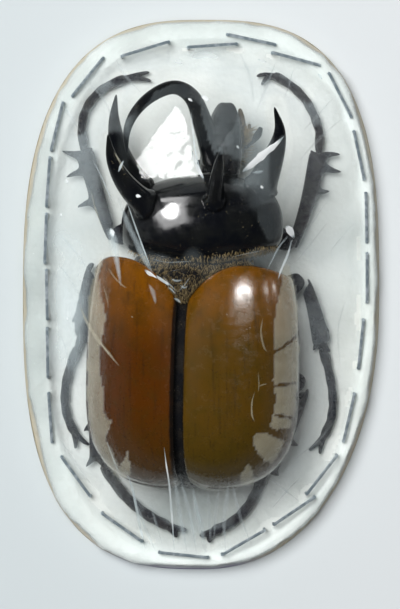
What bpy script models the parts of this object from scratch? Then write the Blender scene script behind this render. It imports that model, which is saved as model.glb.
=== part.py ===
"""A five-horned rhinoceros beetle, dried and kept flat on a stapled foam card under clear film.

The card lies on the XY plane with its middle at the origin, the beetle's head points along +Y and
+Z is up. Sizes are in millimetres here, and MM turns them into metres. The thorax, the hind body
and the head each have their own frame, an empty that gives the twist of the dried specimen.
"""

import math

import bmesh
import bpy
import numpy as np
from mathutils import Euler, Matrix, Vector
from mathutils.bvhtree import BVHTree

MM = 0.001
GAP = 0.3

CARD_HALF_WIDTH = 26.9
CARD_HALF_LENGTH = 41.5
CARD_CORNERS = (3.0, 2.7, 2.8, 2.2)
CARD_SIDES = 48
BED_HEIGHT = 2.6
RIM_HEIGHT = 3.3
CARD_BOARD = 0.9

STAPLE_CROWN = 7.8
STAPLE_WIRE = 0.5
STAPLE_LEG_END = 0.9
STAPLE_PLACES = (
    (24.7, 11.5, 91),
    (24.8, 2.5, 90),
    (23.9, -7.4, 84),
    (22.1, -18.4, 77),
    (18.0, -26.9, 52),
    (13.9, -32.3, 34),
    (6.3, -37.0, 30),
    (-2.6, -38.9, -6),
    (-11.8, -34.8, -35),
    (-18.7, -27.2, -54),
    (-22.5, -18.4, -86),
    (-22.9, -8.7, -89),
    (-23.0, 0.0, -89),
    (-23.2, 8.4, 88),
    (-22.8, 16.8, 86),
    (-21.5, 25.1, 76),
    (-16.9, 32.5, 51),
    (-8.3, 36.6, 17),
    (1.7, 37.2, 4),
    (7.5, 38.1, -12),
    (14.2, 35.2, -15),
    (20.8, 29.8, -63),
    (23.6, 20.8, -78),
)
STAPLE_RING = (23.8, 38.6)
STAPLE_RING_CENTRE = (0.8, -0.4)

FILM_THICKNESS = 0.45
FILM_CELL = 2.6
FILM_INSET = 0.7
FILM_CLAMP = 2.0

ABDOMEN_CENTRE = (-1.25, -12.7, 10.3)
ABDOMEN_ROLL = 10.5
ABDOMEN_YAW = -1.2
ABDOMEN_HALF_LENGTH = 17.3
ABDOMEN_HALF_WIDTH = 16.0
ABDOMEN_TOP = 11.3
ABDOMEN_BOTTOM = 6.2
ELYTRON_THICKNESS = 0.8
SUTURE_HALF_GAP = 0.6
SHOULDER_CUT = 1.6
LEFT_SHOULDER_LEAD = 2.3
COLLAR_CUT = 6.2
COLLAR_REACH = 9.0
TAIL_CUT = 2.4
MESOTHORAX_HALF_WIDTH = 9.4

THORAX_CENTRE = (0.2, 11.4, 10.9)
THORAX_ROLL = 26.0
THORAX_YAW = 1.0
THORAX_HALF_LENGTH = 6.2
THORAX_HALF_WIDTH = 13.0
THORAX_TOP = 8.6
THORAX_BOTTOM = 6.2
THORAX_BOW = 1.6

HEAD_CENTRE = (3.0, 21.5, 10.4)
HEAD_ROLL = 50.0
HEAD_YAW = -6.0
HEAD_REAR = -5.6
HEAD_FRONT = 6.8
HEAD_HALF_WIDTH = 4.3
EYE_RADIUS = 1.05

BLACK_SHELL = ((0.012, 0.011, 0.012, 1.0), 0.18, 0.0)
BROWN_SHELL = ((0.30, 0.115, 0.018, 1.0), 0.22, 0.0)
DARK_LEG = ((0.035, 0.028, 0.03, 1.0), 0.35, 0.0)
WHITE_FOAM = ((0.86, 0.88, 0.87, 1.0), 0.7, 0.0)
CLEAR_FILM = ((0.92, 0.95, 0.96, 0.25), 0.08, 0.0)
STEEL_WIRE = ((0.36, 0.42, 0.47, 1.0), 0.35, 1.0)
BROWN_MOUTH = ((0.16, 0.09, 0.035, 1.0), 0.6, 0.0)

for old in list(bpy.data.objects):
    bpy.data.objects.remove(old)

specimen = bpy.data.collections.new("five_horned_beetle")
bpy.context.scene.collection.children.link(specimen)
cutters = bpy.data.collections.new("cutters")
bpy.context.scene.collection.children.link(cutters)


def material(name, finish):
    """A plain Principled material from (colour, roughness, metallic)."""
    colour, roughness, metallic = finish
    made = bpy.data.materials.get(name)
    if made:
        return made
    made = bpy.data.materials.new(name)
    made.use_nodes = True
    shader = made.node_tree.nodes["Principled BSDF"]
    shader.inputs["Base Color"].default_value = colour
    shader.inputs["Roughness"].default_value = roughness
    shader.inputs["Metallic"].default_value = metallic
    shader.inputs["Alpha"].default_value = colour[3]
    made.diffuse_color = colour
    return made


def node(name, mesh, skin, frame=None, collection=specimen):
    """Links a mesh as a named object, in the frame of its empty if it has one."""
    thing = bpy.data.objects.new(name, mesh)
    collection.objects.link(thing)
    if skin:
        mesh.materials.clear()
        mesh.materials.append(material(*skin))
        mesh.shade_smooth()
    thing.parent = frame
    return thing


def frame_empty(name, centre, roll, yaw):
    """An empty at a body part's middle, rolled so that the top leans to the left, then turned."""
    empty = bpy.data.objects.new(name, None)
    specimen.objects.link(empty)
    empty.location = Vector(centre) * MM
    empty.rotation_euler = Euler((0.0, math.radians(-roll), math.radians(yaw)), "XYZ")
    empty.empty_display_size = 5 * MM
    return empty


def world_mesh(thing):
    """The evaluated mesh of an object in world space, as a bmesh."""
    bpy.context.view_layer.update()
    graph = bpy.context.evaluated_depsgraph_get()
    evaluated = thing.evaluated_get(graph)
    mesh = bpy.data.meshes.new_from_object(evaluated, depsgraph=graph)
    body = bmesh.new()
    body.from_mesh(mesh)
    body.transform(thing.matrix_world)
    bpy.data.meshes.remove(mesh)
    return body


def keep_largest(body):
    """Leaves only the connected surface that has the most volume."""
    islands = []
    waiting = set(body.verts)
    while waiting:
        island = set()
        front = [waiting.pop()]
        while front:
            vertex = front.pop()
            island.add(vertex)
            for edge in vertex.link_edges:
                other = edge.other_vert(vertex)
                if other in waiting:
                    waiting.remove(other)
                    front.append(other)
        islands.append(island)

    def volume(island):
        faces = {face for vertex in island for face in vertex.link_faces}
        total = 0.0
        for face in faces:
            corners = [vertex.co for vertex in face.verts]
            for second, third in zip(corners[1:], corners[2:]):
                total += corners[0].dot(second.cross(third))
        return abs(total)

    islands.sort(key=volume)
    loose = [vertex for island in islands[:-1] for vertex in island]
    bmesh.ops.delete(body, geom=loose, context="VERTS")


def settle(thing):
    """Applies an object's modifiers and keeps the largest closed surface."""
    bpy.context.view_layer.update()
    graph = bpy.context.evaluated_depsgraph_get()
    mesh = bpy.data.meshes.new_from_object(thing.evaluated_get(graph), depsgraph=graph)
    body = bmesh.new()
    body.from_mesh(mesh)
    bmesh.ops.remove_doubles(body, verts=body.verts, dist=0.002 * MM)
    bmesh.ops.dissolve_degenerate(body, edges=body.edges, dist=0.002 * MM)
    keep_largest(body)
    body.to_mesh(mesh)
    body.free()
    thing.modifiers.clear()
    thing.data = mesh
    mesh.name = thing.name


def boolean(thing, operation, other):
    """Adds one exact Boolean with an object."""
    modifier = thing.modifiers.new(operation.lower(), "BOOLEAN")
    modifier.operation = operation
    modifier.solver = "EXACT"
    modifier.use_self = True
    modifier.object = other


def swollen(thing, distance):
    """A cutter: an object's world-space copy with every vertex moved out along its normal."""
    body = world_mesh(thing)
    bmesh.ops.triangulate(body, faces=body.faces)
    body.normal_update()
    moves = [(vertex, vertex.normal * distance * MM) for vertex in body.verts]
    for vertex, move in moves:
        vertex.co += move
    mesh = bpy.data.meshes.new("swollen_" + thing.name)
    body.to_mesh(mesh)
    body.free()
    cutter = node(mesh.name, mesh, None, collection=cutters)
    cutter.hide_render = True
    cutter.display_type = "WIRE"
    return cutter


def carve(thing, *neighbours):
    """Cuts a piece back from its neighbours so that they meet face to face with the gap."""
    made = [swollen(neighbour, GAP) for neighbour in neighbours]
    for cutter in made:
        boolean(thing, "DIFFERENCE", cutter)
    settle(thing)
    for cutter in made:
        bpy.data.objects.remove(cutter)


def fuse(name, pieces, skin, frame=None):
    """One closed object from overlapping closed pieces, by one union on a collection."""
    bundle = bpy.data.collections.new(name + "_pieces")
    bpy.context.scene.collection.children.link(bundle)
    first, rest = pieces[0], pieces[1:]
    for piece in rest:
        specimen.objects.unlink(piece)
        bundle.objects.link(piece)
    modifier = first.modifiers.new("union", "BOOLEAN")
    modifier.operation = "UNION"
    modifier.solver = "EXACT"
    modifier.operand_type = "COLLECTION"
    modifier.collection = bundle
    modifier.use_self = True
    settle(first)
    for piece in rest:
        bpy.data.objects.remove(piece)
    bpy.data.collections.remove(bundle)
    fused = node(name, first.data, skin, frame)
    bpy.data.objects.remove(first)
    fused.name = name
    return fused


def smooth_path(points, steps):
    """Points on a Catmull-Rom curve through the given points, each a Vector."""
    points = [Vector(point) for point in points]
    padded = [points[0] * 2 - points[1]] + points + [points[-1] * 2 - points[-2]]
    path = []
    for before, start, end, after in zip(padded, padded[1:], padded[2:], padded[3:]):
        for step in range(steps):
            t = step / steps
            path.append(
                0.5
                * (
                    2 * start
                    + (end - before) * t
                    + (2 * before - 5 * start + 4 * end - after) * t**2
                    + (3 * start - before - 3 * end + after) * t**3
                )
            )
    path.append(points[-1])
    return path


def tube(name, points, radii, skin, frame=None, steps=2, sides=6, flat=1.0):
    """A tapered tube through points, its height squeezed by flat, as a closed mesh."""
    samples = smooth_path([(*point, radius) for point, radius in zip(points, radii)], steps)
    curve = bpy.data.curves.new(name, "CURVE")
    curve.dimensions = "3D"
    curve.bevel_depth = MM
    curve.bevel_resolution = sides // 2 - 2
    curve.use_fill_caps = True
    spline = curve.splines.new("POLY")
    spline.points.add(len(samples) - 1)
    for target, sample in zip(spline.points, samples):
        x, y, z, radius = sample
        target.co = (x * MM, y * MM, z / flat * MM, 1.0)
        target.radius = max(radius, 0.1)
    wire = bpy.data.objects.new(name, curve)
    specimen.objects.link(wire)
    bpy.context.view_layer.update()
    graph = bpy.context.evaluated_depsgraph_get()
    mesh = bpy.data.meshes.new_from_object(wire.evaluated_get(graph), depsgraph=graph)
    bpy.data.objects.remove(wire)
    body = bmesh.new()
    body.from_mesh(mesh)
    bmesh.ops.remove_doubles(body, verts=body.verts, dist=0.005 * MM)
    bmesh.ops.transform(body, matrix=Matrix.Diagonal((1, 1, flat, 1)), verts=body.verts)
    bmesh.ops.recalc_face_normals(body, faces=body.faces)
    body.to_mesh(mesh)
    body.free()
    made = node(name, mesh, skin, frame)
    made.name = name
    return made


def shaped_ball(name, segments, rings, shape, skin, frame=None):
    """A ball with its poles on Y, moved point by point by shape(x, y, z) of the unit ball."""
    body = bmesh.new()
    bmesh.ops.create_uvsphere(body, u_segments=segments, v_segments=rings, radius=1.0)
    bmesh.ops.rotate(body, verts=body.verts, matrix=Matrix.Rotation(math.radians(-90), 3, "X"))
    for vertex in body.verts:
        vertex.co = Vector(shape(*vertex.co)) * MM
    bmesh.ops.recalc_face_normals(body, faces=body.faces)
    mesh = bpy.data.meshes.new(name)
    body.to_mesh(mesh)
    body.free()
    return node(name, mesh, skin, frame)


def power(value, exponent):
    """A signed power, which squares off a round profile when the exponent is below one."""
    return math.copysign(abs(value) ** exponent, value)


def outline(half_width, half_length, turn, centre=(0.0, 0.0)):
    """A point of the card's rounded outline, whose four corners each have their own fullness."""
    corner = CARD_CORNERS[int(turn / (math.pi / 2)) % 4]
    across = half_width * power(math.cos(turn), 2 / corner)
    along = half_length * power(math.sin(turn), 2 / corner)
    return Vector((centre[0] + across, centre[1] + along, 0.0))


def even_turns(count, half_width, half_length, centre=(0.0, 0.0)):
    """Turns that space count points evenly round the outline."""
    fine = 720
    turns = [index * math.tau / fine for index in range(fine + 1)]
    spots = [outline(half_width, half_length, turn, centre) for turn in turns]
    lengths = [0.0]
    for before, after in zip(spots, spots[1:]):
        lengths.append(lengths[-1] + (after - before).length)
    wanted = [index * lengths[-1] / count for index in range(count)]
    return [float(np.interp(length, lengths, turns)) for length in wanted]


def leg_spots(place):
    """Where the two legs of a staple go down, in the order the line of staples is followed."""
    x, y, turn = place
    middle = Vector((x, y, 0.0))
    reach = Vector((math.cos(turn), math.sin(turn), 0.0)) * (STAPLE_CROWN - STAPLE_WIRE) / 2
    if middle.cross(reach).z > 0:
        return middle + reach, middle - reach
    return middle - reach, middle + reach


def leg_holes(places):
    """One cutter of square holes for the staple legs, blind in the card."""
    body = bmesh.new()
    side = STAPLE_WIRE + 2 * GAP
    low, high = STAPLE_LEG_END - GAP, 12.0
    for place in places:
        for spot in leg_spots(place):
            frame = Matrix.Translation(Vector((spot.x, spot.y, (low + high) / 2)) * MM)
            frame = frame @ Matrix.Rotation(place[2], 4, "Z")
            frame = frame @ Matrix.Diagonal((side * MM, side * MM, (high - low) * MM, 1))
            bmesh.ops.create_cube(body, size=1.0, matrix=frame)
    mesh = bpy.data.meshes.new("leg_holes")
    body.to_mesh(mesh)
    body.free()
    cutter = node("leg_holes", mesh, None, collection=cutters)
    cutter.hide_render = True
    cutter.display_type = "WIRE"
    return cutter


def ring_outline(share, inset=0.0):
    """Points between the card's edge (share 0) and the staple ring (share 1)."""
    turns = even_turns(CARD_SIDES, CARD_HALF_WIDTH, CARD_HALF_LENGTH)
    spots = []
    for turn in turns:
        edge = outline(CARD_HALF_WIDTH - inset, CARD_HALF_LENGTH - inset, turn)
        ring = outline(*STAPLE_RING, turn, STAPLE_RING_CENTRE)
        spots.append(edge.lerp(ring, share))
    return spots


def make_card(holes):
    """The foam card: a board with a soft raised rim outside the staples, flat underneath."""
    profile = [
        (0.0, 0.5, 0.0),
        (0.0, 0.0, CARD_BOARD),
        (0.0, 0.1, RIM_HEIGHT - 0.9),
        (0.12, 0.0, RIM_HEIGHT),
        (0.6, 0.0, RIM_HEIGHT - 0.1),
        (1.0, 0.0, BED_HEIGHT),
    ]
    body = bmesh.new()
    rings = []
    for share, inset, height in profile:
        spots = ring_outline(share, inset)
        rings.append([body.verts.new(Vector((s.x, s.y, height)) * MM) for s in spots])
    for lower, upper in zip(rings, rings[1:]):
        for index in range(CARD_SIDES):
            after = (index + 1) % CARD_SIDES
            body.faces.new((lower[index], lower[after], upper[after], upper[index]))
    body.faces.new(rings[-1])
    body.faces.new(list(reversed(rings[0])))
    mesh = bpy.data.meshes.new("foam_card")
    body.to_mesh(mesh)
    body.free()
    card = node("foam_card", mesh, ("white_foam", WHITE_FOAM))
    boolean(card, "DIFFERENCE", holes)
    settle(card)
    return card


def abdomen_size(share):
    """Half width and top height of the hind body, from its front (0) to its tail (1)."""
    if share < 0.5:
        taper = 1 - 2 * share
        width = 1 - 0.09 * taper**2.5
        top = 1 - 0.16 * taper**2
    else:
        tail = 2 * share - 1
        width = max(1 - tail**3.3, 0.0) ** 0.5
        top = max(1 - tail**3.2, 0.0) ** 0.5
    return ABDOMEN_HALF_WIDTH * width, ABDOMEN_TOP * top


def abdomen_shape(x, y, z):
    """The hind body below the wing cases, drawn in by their thickness and the gap."""
    inset = ELYTRON_THICKNESS + GAP + 0.15
    share = (1 - power(y, 0.8)) / 2
    width, top = abdomen_size(share)
    rim = math.hypot(x, z) or 1.0
    blunt = min(1.0, rim**0.5 * 1.05)
    across, up = x / rim, z / rim
    reach = ABDOMEN_HALF_LENGTH - inset
    height = (top - inset) * up if z > 0 else ABDOMEN_BOTTOM * top / ABDOMEN_TOP * power(up, 1.5)
    return (max(width - inset, 0.0) * across * blunt, power(y, 0.8) * reach, height * blunt)


def make_elytron(side, frame):
    """One wing case: a curved shell from the suture round to the side edge."""
    body = bmesh.new()
    bmesh.ops.create_grid(body, x_segments=10, y_segments=14, size=1.0)
    for vertex in body.verts:
        turn = math.radians(98 * ((vertex.co.x + 1) / 2) ** 1.25)
        share = min(((vertex.co.y + 1) / 2) ** 0.9, 0.994)
        width, top = abdomen_size(share)
        across = SUTURE_HALF_GAP + (width - SUTURE_HALF_GAP) * math.sin(turn)
        up = math.cos(turn) * (top if turn < math.pi / 2 else top * 0.6)
        near = max(0.0, 1 - share / 0.35)
        shoulder = SHOULDER_CUT * near**2 * math.sin(turn) ** 6
        if side < 0:
            rounded = math.sin(turn) ** 2 - 0.45 * math.sin(turn) ** 10
            shoulder -= LEFT_SHOULDER_LEAD * near**2 * rounded
        collar = COLLAR_CUT * near * max(0.0, 1 - across / COLLAR_REACH) ** 2.2
        tail = TAIL_CUT * share**8 * max(0.0, 1 - across / 6.0) ** 2
        along = ABDOMEN_HALF_LENGTH * (1 - 2 * share) - shoulder - collar + tail
        vertex.co = Vector((side * across, along, up)) * MM
    bmesh.ops.recalc_face_normals(body, faces=body.faces)
    if sum(face.normal.z for face in body.faces) < 0:
        bmesh.ops.reverse_faces(body, faces=body.faces)
    name = "elytron_left" if side < 0 else "elytron_right"
    mesh = bpy.data.meshes.new(name)
    body.to_mesh(mesh)
    body.free()
    shell = node(name, mesh, ("brown_shell", BROWN_SHELL), frame)
    solidify = shell.modifiers.new("thickness", "SOLIDIFY")
    solidify.thickness = ELYTRON_THICKNESS * MM
    solidify.offset = -1.0
    settle(shell)
    return shell


def thorax_shape(x, y, z):
    """The prothorax: a dome with a squared rear edge, bowed at its middle, and a narrower front."""
    along = power(y, 0.62)
    rim = math.hypot(x, z) or 1.0
    across, up = x / rim, z / rim
    front = max(0.0, along + 0.25) / 1.25
    rear = max(0.0, -along)
    blunt = max(1 - abs(along) ** (3.0 if along > 0 else 7.0), 0.0) ** 0.4
    width = THORAX_HALF_WIDTH * (1 - 0.24 * front**2.2 - 0.07 * rear**3)
    top = THORAX_TOP * (1 - 0.36 * front**2 - 0.16 * rear**2)
    height = top * up if z > 0 else THORAX_BOTTOM * (1 - 0.25 * front) * power(up, 1.15)
    bow = THORAX_BOW * rear**3 * max(0.0, 1 - across**2) * (1 if z > 0 else 0)
    return (width * across * blunt, along * THORAX_HALF_LENGTH - bow, height * blunt)


def head_shape(x, y, z):
    """The head: a rounded wedge that flattens to a broad two-lobed shield at the front."""
    along = power(y, 0.85)
    middle, half = (HEAD_FRONT + HEAD_REAR) / 2, (HEAD_FRONT - HEAD_REAR) / 2
    rim = math.hypot(x, z) or 1.0
    blunt = min(rim, 1.0) ** 0.6
    across, up = x / rim, z / rim
    front = (along + 1) / 2
    width = HEAD_HALF_WIDTH * (1 - 0.3 * front**2)
    top = 2.7 * (1 - 0.72 * front**1.6)
    bottom = 2.9 * (1 - 0.66 * front**1.6)
    lobe = 0.9 * max(0.0, front - 0.75) * 4 * (abs(across) ** 2 - 0.5) * blunt
    height = (top if z > 0 else bottom) * up
    return (width * across * blunt, middle + along * half + lobe, height * blunt)


HORNS = {
    "thorax_horn_rear_left": (
        [(-5.0, 10.6, 12.2), (-10.2, 15.1, 16.5), (-12.7, 19.2, 18.7), (-13.4, 22.9, 20.0)],
        [2.6, 1.8, 1.05, 0.14],
    ),
    "thorax_horn_rear_right": (
        [(1.4, 8.8, 13.6), (2.1, 14.9, 21.4), (2.5, 18.2, 25.0), (2.9, 20.6, 27.4)],
        [2.3, 1.35, 0.8, 0.14],
    ),
    "thorax_horn_front_left": (
        [(-6.2, 11.0, 9.0), (-11.4, 19.4, 8.8), (-12.8, 25.2, 9.3), (-12.5, 29.5, 9.8)],
        [2.8, 1.9, 1.0, 0.14],
    ),
    "thorax_horn_front_right": (
        [(6.2, 10.0, 12.0), (9.3, 17.0, 17.5), (11.3, 22.7, 20.4), (10.5, 26.8, 21.2)],
        [3.0, 2.25, 1.05, 0.14],
    ),
}


def make_horns(thorax):
    """The four thorax horns: a slender rear pair on the back and a stouter pair on the front corners."""
    for name, (line, radii) in HORNS.items():
        horn = tube(name, line, radii, ("black_shell", BLACK_SHELL), None, 4, 8)
        carve(horn, thorax)


HEAD_HORN_LINE = [
    (2.0, 19.6, 12.2),
    (0.2, 25.0, 15.6),
    (-1.2, 28.4, 17.4),
    (-3.8, 29.9, 18.2),
    (-7.0, 28.7, 18.0),
    (-9.5, 26.4, 17.0),
    (-10.8, 23.6, 15.8),
    (-10.8, 20.4, 14.4),
]
HEAD_HORN_RADII = [2.0, 1.6, 1.35, 1.15, 1.0, 0.82, 0.6, 0.16]


def make_head(thorax):
    """The head with its horn, eyes, feelers and mouthparts, twisted over to the left."""
    frame = frame_empty("head_frame", HEAD_CENTRE, HEAD_ROLL, HEAD_YAW)
    black = ("black_shell", BLACK_SHELL)
    head = shaped_ball("head", 16, 12, head_shape, black, frame)
    carve(head, thorax)
    horn = tube("head_horn", HEAD_HORN_LINE, HEAD_HORN_RADII, black, None, 3, 8)
    carve(horn, head)
    for side, sign in (("left", -1), ("right", 1)):
        eye = shaped_ball(
            "eye_" + side,
            8,
            6,
            lambda x, y, z: (
                sign * 3.5 + x * EYE_RADIUS,
                -2.6 + y * EYE_RADIUS * 1.2,
                0.3 + z * EYE_RADIUS,
            ),
            black,
            frame,
        )
        carve(eye, head, thorax)
        stalk = tube(
            "stalk",
            [(sign * 2.2, 0.2, -0.9), (sign * 3.5, 0.5, -1.9), (sign * 4.2, 1.6, -2.6)],
            [0.4, 0.28, 0.3],
            black,
            frame,
        )
        club = tube(
            "club",
            [(sign * 4.1, 1.4, -2.5), (sign * 4.5, 2.4, -2.9), (sign * 4.7, 3.6, -3.2)],
            [0.35, 0.7, 0.35],
            black,
            frame,
        )
        feeler = fuse("antenna_" + side, [stalk, club], black, frame)
        carve(feeler, head, eye)
    brown = ("brown_mouth", BROWN_MOUTH)
    pieces = [
        tube("chin", [(0, -2.0, -1.6), (0, 0.6, -3.2), (0, 2.6, -2.6)], [1.4, 1.5, 0.7], brown, frame)
    ]
    for sign in (-1, 1):
        palp = [(sign * 0.8, 0.6, -2.8), (sign * 1.5, 2.4, -3.8), (sign * 1.2, 4.2, -3.9)]
        jaw = [(sign * 1.2, 1.0, -2.0), (sign * 1.9, 3.8, -2.0), (sign * 1.5, 6.2, -1.5)]
        pieces.append(tube("palp", palp, [0.5, 0.4, 0.25], brown, frame, 1))
        pieces.append(tube("jaw", jaw, [0.9, 0.8, 0.35], brown, frame, 1))
    mouth = fuse("mouthparts", pieces, brown, frame)
    carve(mouth, head, thorax)
    return head, horn


LEGS = {
    "front_left": {
        "femur": [(-5.0, 11.6, 6.4), (-9.5, 9.6, 5.6), (-13.3, 8.6, 4.9)],
        "tibia": [(-13.2, 8.2, 4.8), (-15.4, 14.6, 4.5), (-17.3, 21.2, 4.2)],
        "teeth": [(0.97, (-3.6, 0.6)), (0.8, (-3.6, -1.0)), (0.45, (-3.3, -0.9)), (0.97, (0.9, 1.0))],
        "tarsus": [
            (-17.5, 21.4), (-17.9, 24.8), (-17.5, 27.2),
            (-16.3, 29.3), (-14.5, 31.0), (-11.4, 32.4),
        ],
        "claws": [(3.9, -0.4), (3.6, 0.9)],
    },
    "front_right": {
        "femur": [(6.0, 11.0, 7.4), (10.5, 8.9, 6.4), (14.0, 7.4, 5.6)],
        "tibia": [(13.7, 7.0, 5.4), (16.0, 14.0, 4.8), (17.5, 20.9, 4.2)],
        "teeth": [(0.97, (3.4, 0.4)), (0.9, (3.8, -1.2)), (0.62, (2.8, -0.3)), (0.97, (-1.0, 1.0))],
        "tarsus": [(17.7, 21.2), (17.8, 24.2), (17.0, 26.7), (15.8, 29.0), (13.9, 31.0), (11.0, 32.9)],
        "claws": [(-1.9, -1.5), (-2.6, -0.2)],
    },
    "middle_left": {
        "femur": [(-5.0, -1.8, 6.2), (-11.4, 1.4, 4.6), (-15.6, 4.4, 4.5)],
        "tibia": [(-16.2, 4.8, 4.5), (-17.3, -0.8, 4.3), (-17.5, -6.2, 4.1)],
        "teeth": [(0.62, (-1.9, -2.0)), (0.97, (-1.3, -1.6)), (0.97, (1.2, -1.4))],
        "tarsus": [
            (-17.9, -6.9), (-19.5, -10.4), (-20.3, -13.5),
            (-20.4, -16.2), (-20.0, -18.4), (-19.0, -20.6),
        ],
        "claws": [(2.2, -1.9), (0.2, -2.4)],
    },
    "middle_right": {
        "femur": [(5.0, -3.5, 6.6), (11.5, 0.0, 5.3), (15.2, 2.6, 5.4)],
        "tibia": [(15.5, 2.2, 5.4), (17.0, -2.6, 4.8), (18.0, -7.2, 4.2)],
        "teeth": [(0.62, (1.9, -1.8)), (0.97, (1.4, -1.6)), (0.97, (-1.2, -1.4))],
        "tarsus": [(18.1, -7.6), (19.0, -10.8), (19.6, -13.8), (19.8, -16.4), (19.5, -18.8), (18.4, -21.2)],
        "claws": [(-2.2, -2.1), (-0.6, -2.6)],
    },
    "hind_left": {
        "femur": [(-4.4, -14.6, 5.6), (-9.3, -12.8, 4.3), (-13.6, -11.6, 4.4)],
        "tibia": [(-14.2, -12.2, 4.4), (-15.6, -18.0, 4.3), (-15.2, -24.2, 4.1)],
        "teeth": [(0.6, (-1.9, -1.2)), (0.97, (-2.0, -1.9)), (0.97, (0.6, -1.8))],
        "tarsus": [
            (-14.9, -24.7), (-13.2, -27.9), (-11.4, -30.2),
            (-9.3, -32.1), (-7.1, -33.6), (-5.0, -34.6),
        ],
        "claws": [(2.7, -0.7), (1.3, -1.6)],
    },
    "hind_right": {
        "femur": [(4.0, -10.5, 6.4), (11.0, -12.2, 5.3), (15.6, -13.4, 5.4)],
        "tibia": [(15.6, -14.0, 5.2), (13.2, -20.0, 4.6), (9.9, -26.0, 4.1)],
        "teeth": [(0.6, (1.9, -1.4)), (0.97, (1.6, -1.4)), (0.97, (-1.6, -1.2))],
        "tarsus": [(9.6, -26.5), (8.5, -29.2), (7.4, -31.3), (5.9, -33.1), (4.1, -34.5), (1.9, -35.4)],
        "claws": [(-1.9, -0.7), (-0.6, -1.6)],
    },
}
FEMUR_RADII = [1.6, 2.0, 1.35]
TIBIA_RADII = [0.85, 1.2, 1.5]
TARSUS_HEIGHT = 3.8
TARSUS_JOINT_RADIUS = 0.45
TARSUS_END_RADIUS = 0.8
CLAW_RADIUS = 0.3
LEG_FLAT = 0.72


def beaded(points, joint, end):
    """A tarsus line and radii: each segment swells to its far end, then nips in."""
    line, radii = [], []
    for start, finish in zip(points, points[1:]):
        start, finish = Vector(start), Vector(finish)
        for share, radius in ((0.0, joint), (0.8, end)):
            line.append(start.lerp(finish, share))
            radii.append(radius)
    line.append(Vector(points[-1]))
    radii.append(joint)
    return line, radii


def make_tibia(name, spec, skin):
    """A shin that widens to its end, with its teeth and spurs fused on."""
    points = [Vector(point) for point in spec["tibia"]]
    shaft = tube("shaft", points, TIBIA_RADII, skin, None, 2, 8, LEG_FLAT)
    pieces = [shaft]
    path = smooth_path(points, 20)
    for share, (across, along) in spec["teeth"]:
        root = path[round(share * (len(path) - 1))]
        reach = Vector((across, along, 0.0))
        start = root + reach * 0.12
        bend = root + reach * 0.6 + Vector((0.0, 0.25 * math.copysign(1, across * along), 0.0))
        tip = root + reach + Vector((0.0, 0.0, -0.2))
        pieces.append(tube("tooth", [start, bend, tip], [0.75, 0.5, 0.14], skin, None, 1, 6, 0.8))
    return fuse(name, pieces, skin)


def make_leg(place, spec, *neighbours):
    """Thigh, shin and foot of one leg, each cut back from what carries it."""
    skin = ("dark_leg", DARK_LEG)
    femur = tube("femur_" + place, spec["femur"], FEMUR_RADII, skin, None, 2, 8, LEG_FLAT)
    carve(femur, *neighbours)
    tibia = make_tibia("tibia_" + place, spec, skin)
    carve(tibia, femur, *neighbours)
    foot = [(x, y, TARSUS_HEIGHT) for x, y in spec["tarsus"]]
    line, radii = beaded(foot, TARSUS_JOINT_RADIUS, TARSUS_END_RADIUS)
    pieces = [tube("foot", line, radii, skin, None, 1, 6)]
    end = Vector(foot[-1])
    heading = (end - Vector(foot[-2])).normalized()
    for across, along in spec["claws"]:
        tip = end + Vector((across, along, -0.35))
        bend = end + (tip - end) * 0.5 + heading * 0.45
        root = end - heading * 0.5
        claw = tube("claw", [root, bend, tip], [CLAW_RADIUS, 0.26, 0.12], skin, None, 1, 6)
        pieces.append(claw)
    tarsus = fuse("tarsus_" + place, pieces, skin)
    carve(tarsus, tibia)


def make_beetle():
    """Every part of the beetle, from the hind body forward and then the legs."""
    hind = frame_empty("hind_body_frame", ABDOMEN_CENTRE, ABDOMEN_ROLL, ABDOMEN_YAW)
    black = ("black_shell", BLACK_SHELL)
    thorax_frame = frame_empty("thorax_frame", THORAX_CENTRE, THORAX_ROLL, THORAX_YAW)
    thorax = shaped_ball("thorax", 28, 16, thorax_shape, black, thorax_frame)
    make_horns(thorax)
    elytra = [make_elytron(side, hind) for side in (-1, 1)]
    belly = shaped_ball("belly", 20, 12, abdomen_shape, black, hind)
    neck = tube(
        "neck",
        [(0, 8.0, 0.6), (0, 16.0, 0.6), (0.6, 22.0, 0.6)],
        [MESOTHORAX_HALF_WIDTH, MESOTHORAX_HALF_WIDTH, MESOTHORAX_HALF_WIDTH - 1.5],
        black,
        hind,
        2,
        16,
        0.72,
    )
    abdomen = fuse("abdomen", [belly, neck], black, hind)
    carve(abdomen, thorax, *elytra)
    scutellum = shaped_ball(
        "scutellum",
        12,
        6,
        lambda x, y, z: (x * 2.8 * (1 + 0.5 * y), 13.9 + y * 2.5, 9.1 + z * 1.2),
        black,
        hind,
    )
    carve(scutellum, abdomen, thorax, *elytra)
    head, horn = make_head(thorax)
    for place, spec in LEGS.items():
        near = [thorax] if place.startswith("front") else [abdomen, *elytra]
        make_leg(place, spec, *near)


def surface_heights(spots):
    """The highest point of everything made so far at each (x, y), in millimetres."""
    trees = []
    for thing in specimen.objects:
        if thing.type == "MESH":
            body = world_mesh(thing)
            bmesh.ops.triangulate(body, faces=body.faces)
            trees.append(BVHTree.FromBMesh(body))
            body.free()
    heights = np.zeros(len(spots))
    down = Vector((0.0, 0.0, -1.0))
    for index, (x, y) in enumerate(spots):
        start = Vector((x * MM, y * MM, 0.1))
        for tree in trees:
            hit = tree.ray_cast(start, down)[0]
            if hit is not None:
                heights[index] = max(heights[index], hit.z / MM)
    return heights


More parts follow.
